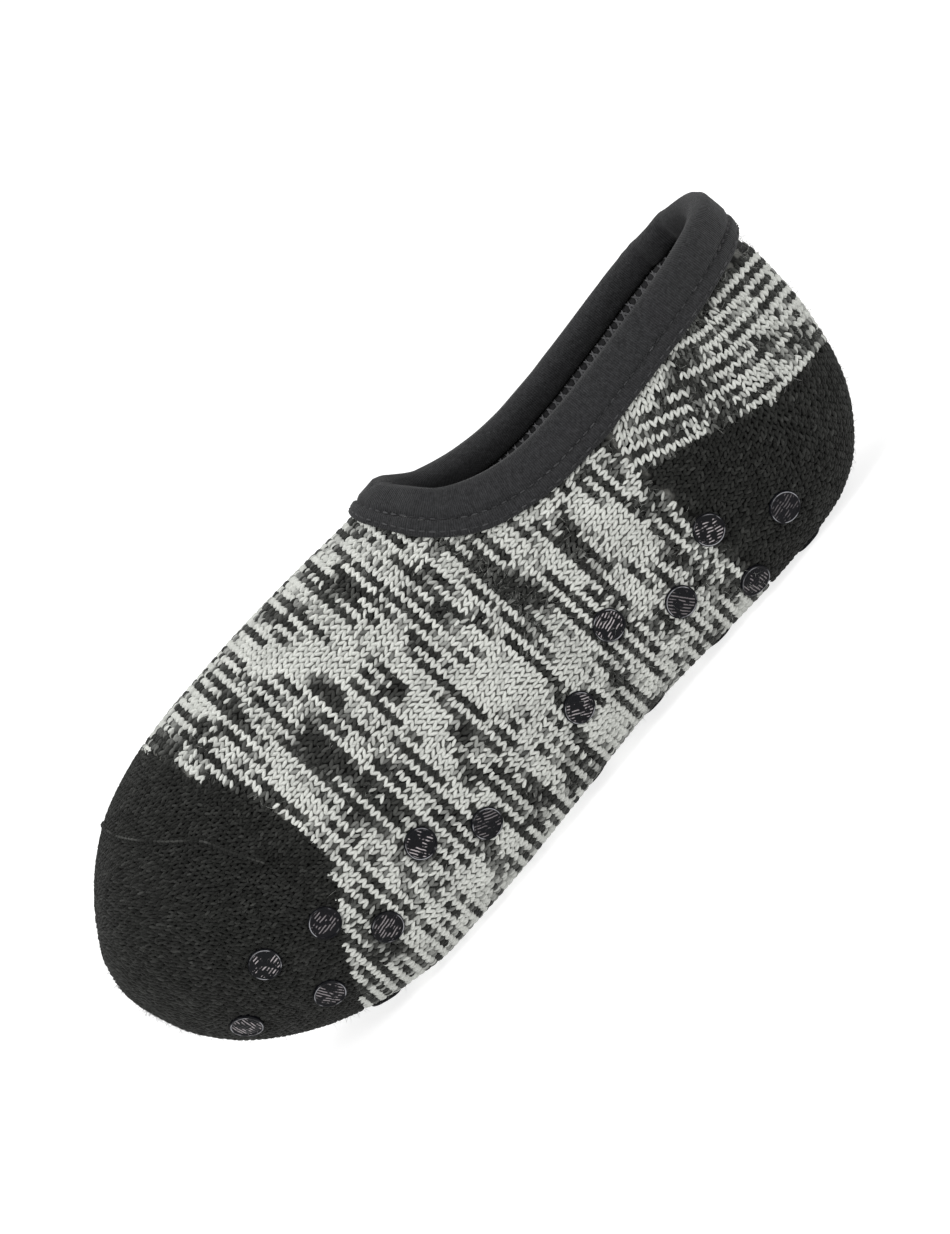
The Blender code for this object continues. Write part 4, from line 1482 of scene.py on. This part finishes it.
    def fuzz(self, finish: bpy.types.Material) -> bpy.types.Object:
        """Loose fibres that stand off the knit.

        Args:
            finish: The yarn.

        Returns:
            The piece.
        """
        chance = np.random.default_rng(5)
        ring = chance.uniform(2, len(self.form.grid) - 1, self.fibres)
        share = chance.uniform(-0.9, 0.9, self.fibres)
        points = self.form.at(ring, share)
        kept = points[:, 2] > self.fibre_floor
        ring, share, points = ring[kept], share[kept], points[kept]
        count = len(points)
        normals = unit(self.form.at(ring, share, self.form.normals))
        lean = unit(normals + chance.normal(0, 0.75, (count, 3)))
        side = unit(np.cross(lean, chance.normal(0, 1, (count, 3))))
        long = chance.uniform(0.5, 1.3, count)
        stretch = np.stack([long, np.ones(count), long], axis=1)
        zone = self.zone_of(points)
        pale = (zone == Zone.MARL) | (zone == Zone.FAN)
        pale_tone = chance.uniform(*self.pale_fibres, count)
        tone = np.where(pale, pale_tone, chance.uniform(*self.dark_fibres, count))
        *body, (tip_x, tip_z) = self.fibre_line
        vertices = [(x, way * self.fibre_half_width, z) for x, z in body for way in (-1, 1)]
        vertices.append((tip_x, 0, tip_z))
        shape = mesh_object("fibre", np.array(vertices), [(0, 1, 3, 2), (2, 3, 5, 4), (4, 5, 6)])
        axes = axes_of(side, lean)
        return self.threads.scatter("fuzz", shape, points, axes, tone, finish, (0.2, 0.3), 40, stretch)


@dataclass
class Collar:
    """Lines that run down the skin from stations round the rim, square to it."""

    form: SockForm
    stations: int = 66
    finer: int = 4
    rim_points: int = 160
    depth: float = 0.0106
    march_step: float = 0.0010
    frame_row: int = 6
    turn_length: float = 0.30
    throat_ease: float = 0.18
    throat_half_width: float = 0.0130

    def __post_init__(self) -> None:
        """Marches the lines at the part's own stations, then fills in finer ones between them."""
        rim = self.form.vertices[self.form.rim()]
        rim = self._even(rim, self.rim_points, self._spans(rim))
        way = self._tangents(rim)
        edge = np.array([self._march(p, t)[0][-1] for p, t in zip(rim, way)])
        measure = self._spans(rim) + self._spans(edge) + self.turn_length * self._spans(way) / (2 * math.pi)
        starts = self._even(rim, self.stations, measure)
        lines = [self._march(p, t) for p, t in zip(starts, self._tangents(starts))]
        self.places = self._refine(np.array([line[0] for line in lines]))
        self.normals = unit(self._refine(np.array([line[1] for line in lines])))
        self.up = unit(self.places[:, 0] - self.places[:, 1])
        self.count = len(self.places)

    @staticmethod
    def _spans(line: np.ndarray) -> np.ndarray:
        """Lengths from each point of a closed line to the next."""
        return np.linalg.norm(np.roll(line, -1, axis=0) - line, axis=1)

    @staticmethod
    def _even(points: np.ndarray, count: int, measure: np.ndarray) -> np.ndarray:
        """Evenly spaced points on a closed line, by a given measure of its spans."""
        run = np.concatenate([[0.0], np.cumsum(measure)])
        even = np.linspace(0, run[-1], count, endpoint=False)
        return along_line(np.concatenate([points, points[:1]]), run, even)

    @staticmethod
    def _tangents(line: np.ndarray) -> np.ndarray:
        """Directions along a closed line, smoothed over two points each way."""
        ahead = np.roll(line, -1, axis=0) + np.roll(line, -2, axis=0)
        return unit(ahead - np.roll(line, 1, axis=0) - np.roll(line, 2, axis=0))

    def _march(self, start: np.ndarray, tangent: np.ndarray) -> tuple[np.ndarray, np.ndarray]:
        """Points and normals down the skin, from the rim and square to it."""
        place, normal = self.form.nearest(start)
        way = np.cross(tangent, normal)
        places, normals = [place], [normal]
        for _ in range(int(math.ceil(self.depth / self.march_step)) + 1):
            way = unit(way - way.dot(normal) * normal)
            place, normal = self.form.nearest(place + way * self.march_step)
            places.append(place)
            normals.append(normal)
        return np.array(places), np.array(normals)

    def _refine(self, values: np.ndarray) -> np.ndarray:
        """Values at finer stations on smooth closed curves through the given ones."""
        before, here = np.roll(values, 1, axis=0), values
        after, later = np.roll(values, -1, axis=0), np.roll(values, -2, axis=0)
        made = []
        for k in range(self.finer):
            t = k / self.finer
            blend = 2 * here + (after - before) * t + (2 * before - 5 * here + 4 * after - later) * t**2
            made.append((blend + (3 * here - before - 3 * after + later) * t**3) / 2)
        return np.stack(made, axis=1).reshape(-1, *values.shape[1:])

    def eased(self, down: float) -> np.ndarray:
        """A distance down at each station, shortened over the throat where the strip is eased."""
        first = self.places[:, 0]
        ahead = first[:, 0] > self.form.toe_x - self.form.throat_from_toe - self.throat_half_width
        near = np.maximum(0.0, 1 - np.abs(first[:, 1]) / self.throat_half_width) * ahead
        return down * (1 - self.throat_ease * near) if down > 0 else np.full(self.count, down)

    def ring(self, down: float, out: np.ndarray | float, wander: np.ndarray | float = 0.0) -> np.ndarray:
        """One closed line round the collar.

        Args:
            down: Distance down from the rim. Above the rim it is negative.
            out: Distance out from the skin, one for all stations or one for each.
            wander: Change of the distance down at each station.

        Returns:
            A point for each station.
        """
        out = np.broadcast_to(out, (self.count,))[:, None]
        if down <= 0:
            return self.places[:, 0] - down * self.up + out * self.normals[:, 0]
        at = np.clip((self.eased(down) + wander) / self.march_step, 0, self.places.shape[1] - 1 - 1e-6)
        low = at.astype(int)
        t = (at - low)[:, None]
        rows = np.arange(self.count)
        place = self.places[rows, low] * (1 - t) + self.places[rows, low + 1] * t
        normal = self.normals[rows, low] * (1 - t) + self.normals[rows, low + 1] * t
        return place + out * normal

    def frames(self, line: np.ndarray, pitch: float) -> tuple[np.ndarray, np.ndarray]:
        """Even points on a closed line round the collar, with axes along it, down the skin and out.

        Args:
            line: One point for each station.
            pitch: Distance from one point to the next.

        Returns:
            The points and their axes.
        """
        run = np.concatenate([[0.0], np.cumsum(self._spans(line))])
        count = int(round(run[-1] / pitch))
        even = np.linspace(0, run[-1], count, endpoint=False)
        stations = np.interp(even, run, np.arange(self.count + 1))
        low = stations.astype(int) % self.count
        t = (stations - stations.astype(int))[:, None]
        high = (low + 1) % self.count
        points = line[low] * (1 - t) + line[high] * t
        out = self.normals[low, self.frame_row] * (1 - t) + self.normals[high, self.frame_row] * t
        along = unit(np.roll(points, -1, axis=0) - np.roll(points, 1, axis=0))
        return points, axes_of(along, laid_on(out, along))


def bead(name: str, length: float, width: float, height: float) -> bpy.types.Object:
    """A short plump length of thread, laid along x, that sinks in at both ends.

    Args:
        name: The object's name.
        length: Its length.
        width: Its width in the middle.
        height: How far it stands up.

    Returns:
        The object.
    """
    vertices = [(-length / 2, 0, -0.3 * height)]
    for x, swell in ((-0.30, 0.85), (0.0, 1.0), (0.30, 0.85)):
        for turn in (200, 145, 90, 35, -20):
            angle = math.radians(turn)
            across = width / 2 * swell * math.cos(angle)
            vertices.append((x * length, across, height * swell * math.sin(angle)))
    vertices.append((length / 2, 0, -0.3 * height))
    faces = [(0, 2 + k, 1 + k) for k in range(4)]
    for row in (1, 6):
        faces += [(row + k, row + k + 1, row + k + 6, row + k + 5) for k in range(4)]
    faces += [(11 + k, 12 + k, 16) for k in range(4)]
    return mesh_object(name, np.array(vertices), faces)


@dataclass
class CollarBinding:
    """The folded jersey strip over the collar's edge, with its topstitching."""

    collar: Collar
    threads: ThreadScatter
    outside: float = 0.0106
    inside: float = 0.0048
    thickness: float = 0.0020
    roll: float = 0.0022
    seat: float = 0.0003
    inside_seat: float = 0.0008
    edge_room: float = 0.0007
    topstitch_down: float = 0.0064
    edge_stitch_down: float = 0.0096
    topstitch_pitch: float = 0.0026
    middle_down: float = 0.006
    soft_length: float = 0.009
    soft_swell: float = 0.00022
    fine_length: float = 0.0032
    fine_swell: float = 0.00010
    edge_wander: float = 0.00035
    stitch_reach: float = 0.0011
    stitch_pull: float = 0.00018

    def _profile(self) -> np.ndarray:
        """The strip in section: down from the rim and out from the skin."""
        face = self.seat + self.thickness
        lining = -self.collar.form.wall - self.inside_seat
        back = lining - self.thickness
        middle = -self.collar.form.wall / 2
        top = -self.edge_room - self.roll
        return np.array(
            [
                (self.outside, self.seat - 0.0002),
                (self.outside * 1.005, self.seat + 0.45 * self.thickness),
                (0.965 * self.outside, self.seat + 0.72 * self.thickness),
                (self.edge_stitch_down, face - 0.00050),
                (0.82 * self.outside, face - 0.00008),
                (0.68 * self.outside, face + 0.00010),
                (0.635 * self.outside, face - 0.00030),
                (self.topstitch_down, face - 0.00075),
                (0.57 * self.outside, face - 0.00025),
                (0.44 * self.outside, face + 0.00015),
                (0.28 * self.outside, face + 0.00010),
                (0.12 * self.outside, face),
                (0.30 * top, 0.95 * face),
                (0.80 * top, middle + 0.62 * (face - middle)),
                (top, middle),
                (0.80 * top, middle + 0.62 * (back - middle)),
                (0.30 * top, middle + 0.95 * (back - middle)),
                (0.25 * self.inside, back),
                (0.55 * self.inside, back),
                (0.85 * self.inside, back + 0.0001),
                (self.inside, lining - 0.45 * self.thickness),
                (self.inside, lining),
                (0.5 * self.inside, lining),
                (-self.edge_room, lining),
                (-self.edge_room, self.seat),
                (0.3 * self.outside, self.seat),
                (0.7 * self.outside, self.seat),
            ]
        )

    def _folds(self, centre: np.ndarray) -> np.ndarray:
        """Depth of the folds at each station, from the strip's middle line there."""
        x, _ = self.collar.form.side_view(centre)
        depth = np.zeros(len(centre))
        for fold in FOLDS:
            near = np.exp(-(((x - fold.x) / fold.half_width) ** 2)) * (centre[:, 1] * fold.side > 0)
            depth += fold.depth * near
        return depth

    def strip(self, finish: bpy.types.Material) -> bpy.types.Object:
        """The folded strip, pulled in a little by each topstitch.

        Args:
            finish: The jersey.

        Returns:
            The piece.
        """
        collar = self.collar
        profile = self._profile()
        centre = collar.ring(self.middle_down, 0.0)
        run = run_along(np.concatenate([centre, centre[:1]]))
        along = run[:-1]
        soft = value_noise(np.zeros(collar.count), along / self.soft_length, 31) - 0.5
        fine = value_noise(np.zeros(collar.count), along / self.fine_length, 32) - 0.5
        pull = 0.5 - 0.5 * np.cos(2 * math.pi * along / self.topstitch_pitch)
        folds = self._folds(centre)
        rings = []
        for down, out in profile:
            on_face = out > self.seat + 0.5 * self.thickness
            near = math.exp(-(((down - self.topstitch_down) / self.stitch_reach) ** 2)) if on_face else 0.0
            swell = (self.soft_swell * soft + self.fine_swell * fine) * (1.0 if on_face else 0.3)
            wander = self.edge_wander * soft if down > 0.95 * self.outside else 0.0
            outer = out > -0.5 * collar.form.wall
            swell = swell - folds * (1.0 if outer else -1.0) * (on_face or not outer)
            rings.append(collar.ring(down, out + swell - self.stitch_pull * near * pull, wander))
        vertices = np.stack(rings, axis=1).reshape(-1, 3)
        sides = len(profile)
        faces = tube_faces(collar.count, sides)
        made = mesh_object("collar_binding_strip", vertices, faces, [finish])
        across = run_along(np.concatenate([profile, profile[:1]]))
        corners = corner_points(made.data)
        station, side = corners // sides, corners % sides
        quads = np.repeat(np.arange(len(made.data.polygons)), 4)
        station = np.where((quads // sides == collar.count - 1) & (station == 0), collar.count, station)
        side = np.where((quads % sides == sides - 1) & (side == 0), sides, side)
        add_map(made.data, "strip", np.stack([run[station], across[side]], axis=1))
        return made

    def topstitching(self, finish: bpy.types.Material) -> bpy.types.Object:
        """Two rows of short stitches, one up the strip's face and one along its lower edge.

        Args:
            finish: The thread.

        Returns:
            The piece.
        """
        found = []
        for down, sunk in ((self.topstitch_down, 0.00062), (self.edge_stitch_down, 0.00042)):
            line = self.collar.ring(down, self.seat + self.thickness - sunk)
            found.append(self.collar.frames(line, self.topstitch_pitch))
        points, axes = (np.concatenate(values) for values in zip(*found))
        shape = bead("topstitch", 0.0018, 0.00045, 0.00026)
        tone = np.random.default_rng(9).uniform(0.1, 0.4, len(points))
        name = "collar_topstitching"
        return self.threads.scatter(name, shape, points, axes, tone, finish, (0.08, 0.06), 51)


@dataclass
class OverlockEdge:
    """The overlocked edge of the strip, inside the collar."""

    collar: Collar
    threads: ThreadScatter
    start: float = 0.0051
    width: float = 0.0036
    thickness: float = 0.0020
    inside_seat: float = 0.0008
    loop_pitch: float = 0.00125
    slant: float = 26.0
    edge_tone: float = 0.1

    def edge(self, finish: bpy.types.Material) -> bpy.types.Object:
        """The bound edge under the loops.

        Args:
            finish: The thread.

        Returns:
            The piece.
        """
        wall = -self.collar.form.wall - self.inside_seat
        crest = wall - self.thickness
        end = self.start + self.width
        profile = (
            (self.start, wall),
            (self.start, wall - 0.60 * self.thickness),
            (self.start + 0.3 * self.width, crest + 0.0004),
            (self.start + 0.6 * self.width, crest + 0.0005),
            (end - 0.0002, wall - 0.45 * self.thickness),
            (end, wall),
        )
        rings = [self.collar.ring(down, out) for down, out in profile]
        vertices = np.stack(rings, axis=1).reshape(-1, 3)
        faces = tube_faces(self.collar.count, len(profile))
        made = mesh_object("overlock_strip", vertices, faces, [finish])
        float_attribute(made.data, "tone", np.full(len(vertices), self.edge_tone))
        return made

    def loops(self, finish: bpy.types.Material) -> bpy.types.Object:
        """The threads that wrap the edge, slanted one way and then the other.

        Args:
            finish: The thread.

        Returns:
            The piece.
        """
        wall = -self.collar.form.wall - self.inside_seat
        line = self.collar.ring(self.start + 0.5 * self.width, wall - self.thickness + 0.0004)
        points, axes = self.collar.frames(line, self.loop_pitch)
        slant = np.where(np.arange(len(points)) % 2 == 0, 1.0, -1.0) * math.tan(math.radians(self.slant))
        turned = axes_of(unit(axes[:, 1] + slant[:, None] * axes[:, 0]), -axes[:, 2])
        shape = bead("overlock_loop", 0.0050, 0.00075, 0.00045)
        tone = np.random.default_rng(6).uniform(0.7, 1.6, len(points))
        return self.threads.scatter("overlock_loops", shape, points, turned, tone, finish, (0.05, 0.08), 61)


@dataclass
class ToeSeam:
    """The linked seam over the toes, a low row of loops."""

    form: SockForm
    threads: ThreadScatter
    width: float = 0.0015
    height: float = 0.0008
    pitch: float = 0.0013
    thread_pitch: float = 0.0011
    lift: float = 0.0003
    along: tuple[float, ...] = (0.117, 0.126, 0.143, 0.160, 0.173, 0.181, 0.189, 0.196)
    up: tuple[float, ...] = (0.905, 0.876, 0.830, 0.787, 0.751, 0.697, 0.648, 0.606)

    def _line(self, pitch: float) -> tuple[np.ndarray, np.ndarray, np.ndarray]:
        """Even places along the seam, with the way out and the way along.

        Args:
            pitch: Distance from one place to the next.

        Returns:
            The three arrays.
        """
        form = self.form
        at = np.linspace(0, len(self.along) - 1, 40)
        x = form.toe_x - form.length * through_rows(self.along, at)
        z = form.sole_lift + form.instep_height * through_rows(self.up, at)
        left = [form.hit((a, 0.09, b), (0, -1, 0)) for a, b in zip(x, z)]
        crown = form.hit((x[0] + 0.0004, 0.0, 2 * form.instep_height), (0, 0, -1))
        line = np.array(left[::-1] + [crown] + [p * (1, -1, 1) for p in left])
        run = run_along(line)
        places, normals = form.nearest_all(along_line(line, run, np.arange(0, run[-1], pitch)))
        return places, normals, laid_on(np.gradient(places, axis=0), normals)

    def loops(self, finish: bpy.types.Material) -> bpy.types.Object:
        """The row of linked loops.

        Args:
            finish: The yarn.

        Returns:
            The piece.
        """
        places, normals, way = self._line(self.pitch)
        axes = axes_of(unit(np.cross(normals, way) + 0.35 * way), normals)
        points = places + self.lift * normals
        shape = bead("toe_loop", 1.25 * self.width, 1.15 * self.pitch, 0.72 * self.height)
        tone = np.random.default_rng(8).uniform(0.0, 0.012, len(points))
        return self.threads.scatter("toe_seam_loops", shape, points, axes, tone, finish, (0.08, 0.10), 71)

    def thread(self, finish: bpy.types.Material) -> bpy.types.Object:
        """The paler thread that shows along the seam.

        Args:
            finish: The yarn.

        Returns:
            The piece.
        """
        places, normals, way = self._line(self.thread_pitch)
        axes = axes_of(way, normals)
        points = places + (self.lift + 0.55 * self.height) * normals
        count = len(points)
        tone = value_noise(np.zeros(count), np.arange(count) / 2.2, 77) * 0.11 - 0.02
        tone = np.clip(tone, 0.0, 1.0)
        shape = bead("toe_thread", 0.0014, 0.00062, 0.00025)
        return self.threads.scatter("toe_seam_thread", shape, points, axes, tone, finish, (0.15, 0.20), 72)


@dataclass
class GripDots:
    """The moulded dots, each bent to the knit under it. The profile is in mm, out and up."""

    form: SockForm
    seat: float = 0.0003
    under: float = 0.0006
    top: float = 0.00076
    sides: int = 32
    face_reach: float = 3.5
    rim_reach: float = 3.84
    profile: tuple[tuple[float, float], ...] = (
        (4.05, -0.50),
        (4.20, 0.00),
        (4.20, 0.45),
        (4.14, 0.74),
        (4.00, 0.88),
        (3.84, 0.90),
        (3.70, 0.84),
        (3.58, 0.68),
        (3.44, 0.62),
        (3.10, 0.64),
        (2.20, 0.70),
        (1.10, 0.74),
    )

    def _points(self, name: str, spin: float) -> tuple[list[np.ndarray], list[tuple[float, float]]]:
        """Points of one dot, from its hidden underside round its edge to its middle, and their map.

        Args:
            name: The CAD node that it stands for.
            spin: Turn of its mould weave and of its painted reflection streaks, in radians.

        Returns:
            The points, and their places on the map.
        """
        low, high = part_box(name)
        centre, normal = self.form.nearest(np.array((low + high) / 2))
        first = unit(np.cross(normal, (0.3, 1.0, 0.1)))
        second = np.cross(normal, first)
        points, places = [centre - self.under * normal], [(0.0, 0.0)]
        for reach, rise in self.profile:
            reach, rise = reach * MM, rise * MM
            for turn in 2 * math.pi * np.arange(self.sides) / self.sides:
                spot = centre + reach * (math.cos(turn) * first + math.sin(turn) * second)
                below, lean = self.form.nearest(spot)
                points.append(below + (self.seat + rise) * lean)
                places.append((reach * math.cos(turn + spin), reach * math.sin(turn + spin)))
        points.append(centre + (self.seat + self.top) * normal)
        places.append((0.0, 0.0))
        return points, places

    def _faces(self) -> list[tuple[int, ...]]:
        """Faces of one dot: a fan below, the rings between, and a fan on top."""
        pairs = [(k, (k + 1) % self.sides) for k in range(self.sides)]
        top = 1 + (len(self.profile) - 1) * self.sides
        faces = [(0, 1 + m, 1 + k) for k, m in pairs]
        for here in range(1, top, self.sides):
            above = here + self.sides
            faces += [(here + k, here + m, above + m, above + k) for k, m in pairs]
        return faces + [(top + k, top + m, top + self.sides) for k, m in pairs]

    def dots(self, names: Sequence[str], finish: bpy.types.Material) -> bpy.types.Object:
        """All the dots as one piece.

        Args:
            names: The CAD nodes that they stand for.
            finish: The silicone.

        Returns:
            The piece.
        """
        vertices, faces, places, painted_reflection = [], [], [], []
        chance = np.random.default_rng(3)
        for name in names:
            points, spots = self._points(name, chance.uniform(0, math.pi))
            faces += [tuple(len(vertices) + k for k in face) for face in self._faces()]
            vertices += points
            places += spots
            # Each dot's own strength of the painted reflection on its face
            painted_reflection += [chance.uniform(0.15, 1.0)] * len(points)
        made = mesh_object("grip_dots", np.array(vertices), faces, [finish])
        rings = np.repeat([reach for reach, _ in self.profile], self.sides)
        face = np.concatenate([[0.0], rings < self.face_reach, [1.0]])
        # The crest ring, where the finish paints its highlight
        rim = np.concatenate([[0.0], rings == self.rim_reach, [0.0]])
        float_attribute(made.data, "face", np.tile(face, len(names)))
        float_attribute(made.data, "rim", np.tile(rim, len(names)))
        float_attribute(made.data, "painted_reflection", np.array(painted_reflection))
        add_map(made.data, "dot", np.array(places)[corner_points(made.data)])
        return made


@dataclass
class Studio:
    """Floor, light and camera."""

    form: SockForm
    distance: float = 4.0
    frame_height: float = 0.3011
    frame_centre: tuple[float, float] = (0.12518, 0.0479)
    roll: float = 48.6
    sensor: float = 36.0
    floor_shade: float = 0.36
    floor_glow: float = 0.80
    floor_side: float = 14.0
    floor_front: float = 6.0
    floor_back: float = -9.0
    sweep: float = 2.0
    sweep_top: float = 8.0
    world_strength: float = 0.50
    look_at: tuple[float, float, float] = (0.0, 0.0, 0.04)
    panels: tuple[tuple[str, tuple[float, float, float], float, float], ...] = (
        ("key", (0.70, 0.80, 0.95), 0.40, 8.5),
        ("fill", (-0.95, 0.75, 0.55), 0.8, 6.0),
        ("top", (0.0, 0.1, 1.5), 1.4, 12.0),
    )

    def floor(self) -> bpy.types.Object:
        """A pale floor that sweeps up behind the sock."""
        finish, shader = new_finish("pale_floor")
        inputs = {
            "Base Color": (self.floor_shade, self.floor_shade, self.floor_shade, 1.0),
            "Roughness": 0.95,
            "Emission Color": (1.0, 1.0, 1.0, 1.0),
            "Emission Strength": self.floor_glow,
        }
        feed(finish.node_tree, shader, inputs)
        line = [(self.floor_front, 0.0), (self.floor_back, 0.0)]
        for turn in np.linspace(0.1, math.pi / 2, 12):
            line.append((self.floor_back - self.sweep * math.sin(turn), self.sweep * (1 - math.cos(turn))))
        line.append((self.floor_back - self.sweep, self.sweep_top))
        vertices = [(x, y, z) for y, z in line for x in (-self.floor_side, self.floor_side)]
        faces = [(2 * k, 2 * k + 1, 2 * k + 3, 2 * k + 2) for k in range(len(line) - 1)]
        return mesh_object("floor", np.array(vertices), faces, [finish])

    def light(self) -> None:
        """Soft light from all round, with three square panels."""
        world = bpy.data.worlds.new("studio")
        world.use_nodes = True
        back = world.node_tree.nodes["Background"]
        back.inputs["Color"].default_value = (1.0, 1.0, 1.0, 1.0)
        back.inputs["Strength"].default_value = self.world_strength
        bpy.context.scene.world = world
        for name, place_of, size, power in self.panels:
            lamp = bpy.data.lights.new(name, "AREA")
            lamp.shape = "SQUARE"
            lamp.size = size
            lamp.energy = power
            item = bpy.data.objects.new(name, lamp)
            item.location = place_of
            way = Vector(self.look_at) - Vector(place_of)
            item.rotation_euler = way.to_track_quat("-Z", "Y").to_euler()
            bpy.context.scene.collection.objects.link(item)

    def camera(self) -> None:
        """A long lens at the photo's angle, rolled as the photo is."""
        lift, turn = math.radians(EYE_LIFT), math.radians(self.roll)
        look = Vector((0, -math.cos(lift), -math.sin(lift)))
        right, up = Vector((-1, 0, 0)), Vector((0, -math.sin(lift), math.cos(lift)))
        across = math.cos(turn) * right - math.sin(turn) * up
        above = math.sin(turn) * right + math.cos(turn) * up
        lens = bpy.data.cameras.new("camera")
        lens.sensor_width = self.sensor
        lens.lens = self.sensor * self.distance / self.frame_height
        lens.clip_start, lens.clip_end = 0.05, 60.0
        item = bpy.data.objects.new("camera", lens)
        axes = Matrix((across, above, -look)).transposed()
        item.rotation_euler = axes.to_euler()
        aim = Vector((self.form.toe_x - self.frame_centre[0], 0.0, self.frame_centre[1]))
        item.location = aim - self.distance * look
        bpy.context.scene.collection.objects.link(item)
        bpy.context.scene.camera = item
        bpy.context.scene.view_settings.view_transform = "Standard"


def add_piece(piece: bpy.types.Object, nodes: Sequence[str] = ()) -> None:
    """Rides a finished piece on the sock and the nodes that it stands for.

    Args:
        piece: The finished piece.
        nodes: CAD nodes that it replaces.
    """
    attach(piece, BODY)
    if nodes:
        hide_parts(*nodes)
    report(piece)


def main() -> None:
    """Builds the sock, its stage and its light."""
    logging.basicConfig(level=logging.INFO, format="%(message)s")
    form = SockForm()
    threads = ThreadScatter()
    collar = Collar(form)
    grain = fibre_grain()
    yarn = YarnFinish("marled_yarn", (0.0062, 0.0066, 0.0055), (0.60, 0.61, 0.575)).make(grain)
    # The backing's outside: a darker copy of the marled yarn, painted shade in the gaps between the
    # stitches
    painted_shade_backing_yarn = YarnFinish("painted_shade_backing_yarn", (0.0055, 0.0055, 0.005), (0.19, 0.19, 0.175)).make(grain)
    inside_yarn = YarnFinish("inside_yarn", (0.016, 0.016, 0.015), (0.20, 0.20, 0.19)).make(grain)
    thread = YarnFinish("dark_thread", (0.012, 0.012, 0.013), (0.13, 0.13, 0.135), 0.75).make(grain)
    jersey = JerseyFinish().make(grain)
    silicone = SiliconeFinish().make()

    body = KnittedBody(form, Marl(form), threads)
    add_piece(body.backing([painted_shade_backing_yarn, inside_yarn]), ["knit_body"])
    for piece in body.stitches(yarn):
        add_piece(piece)
    add_piece(body.fuzz(yarn))

    binding = CollarBinding(collar, threads)
    add_piece(binding.strip(jersey), ["collar_binding"])
    add_piece(binding.topstitching(thread))
    overlock = OverlockEdge(collar, threads)
    add_piece(overlock.edge(thread), ["overlock_edge"])
    add_piece(overlock.loops(thread))
    seam = ToeSeam(form, threads)
    add_piece(seam.loops(yarn), ["toe_seam"])
    add_piece(seam.thread(yarn))
    dots = sorted(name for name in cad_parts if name.startswith("grip_dot_"))
    add_piece(GripDots(form).dots(dots, silicone), dots)

    studio = Studio(form)
    studio.floor()
    studio.light()
    studio.camera()


if __name__ == "__main__":
    main()
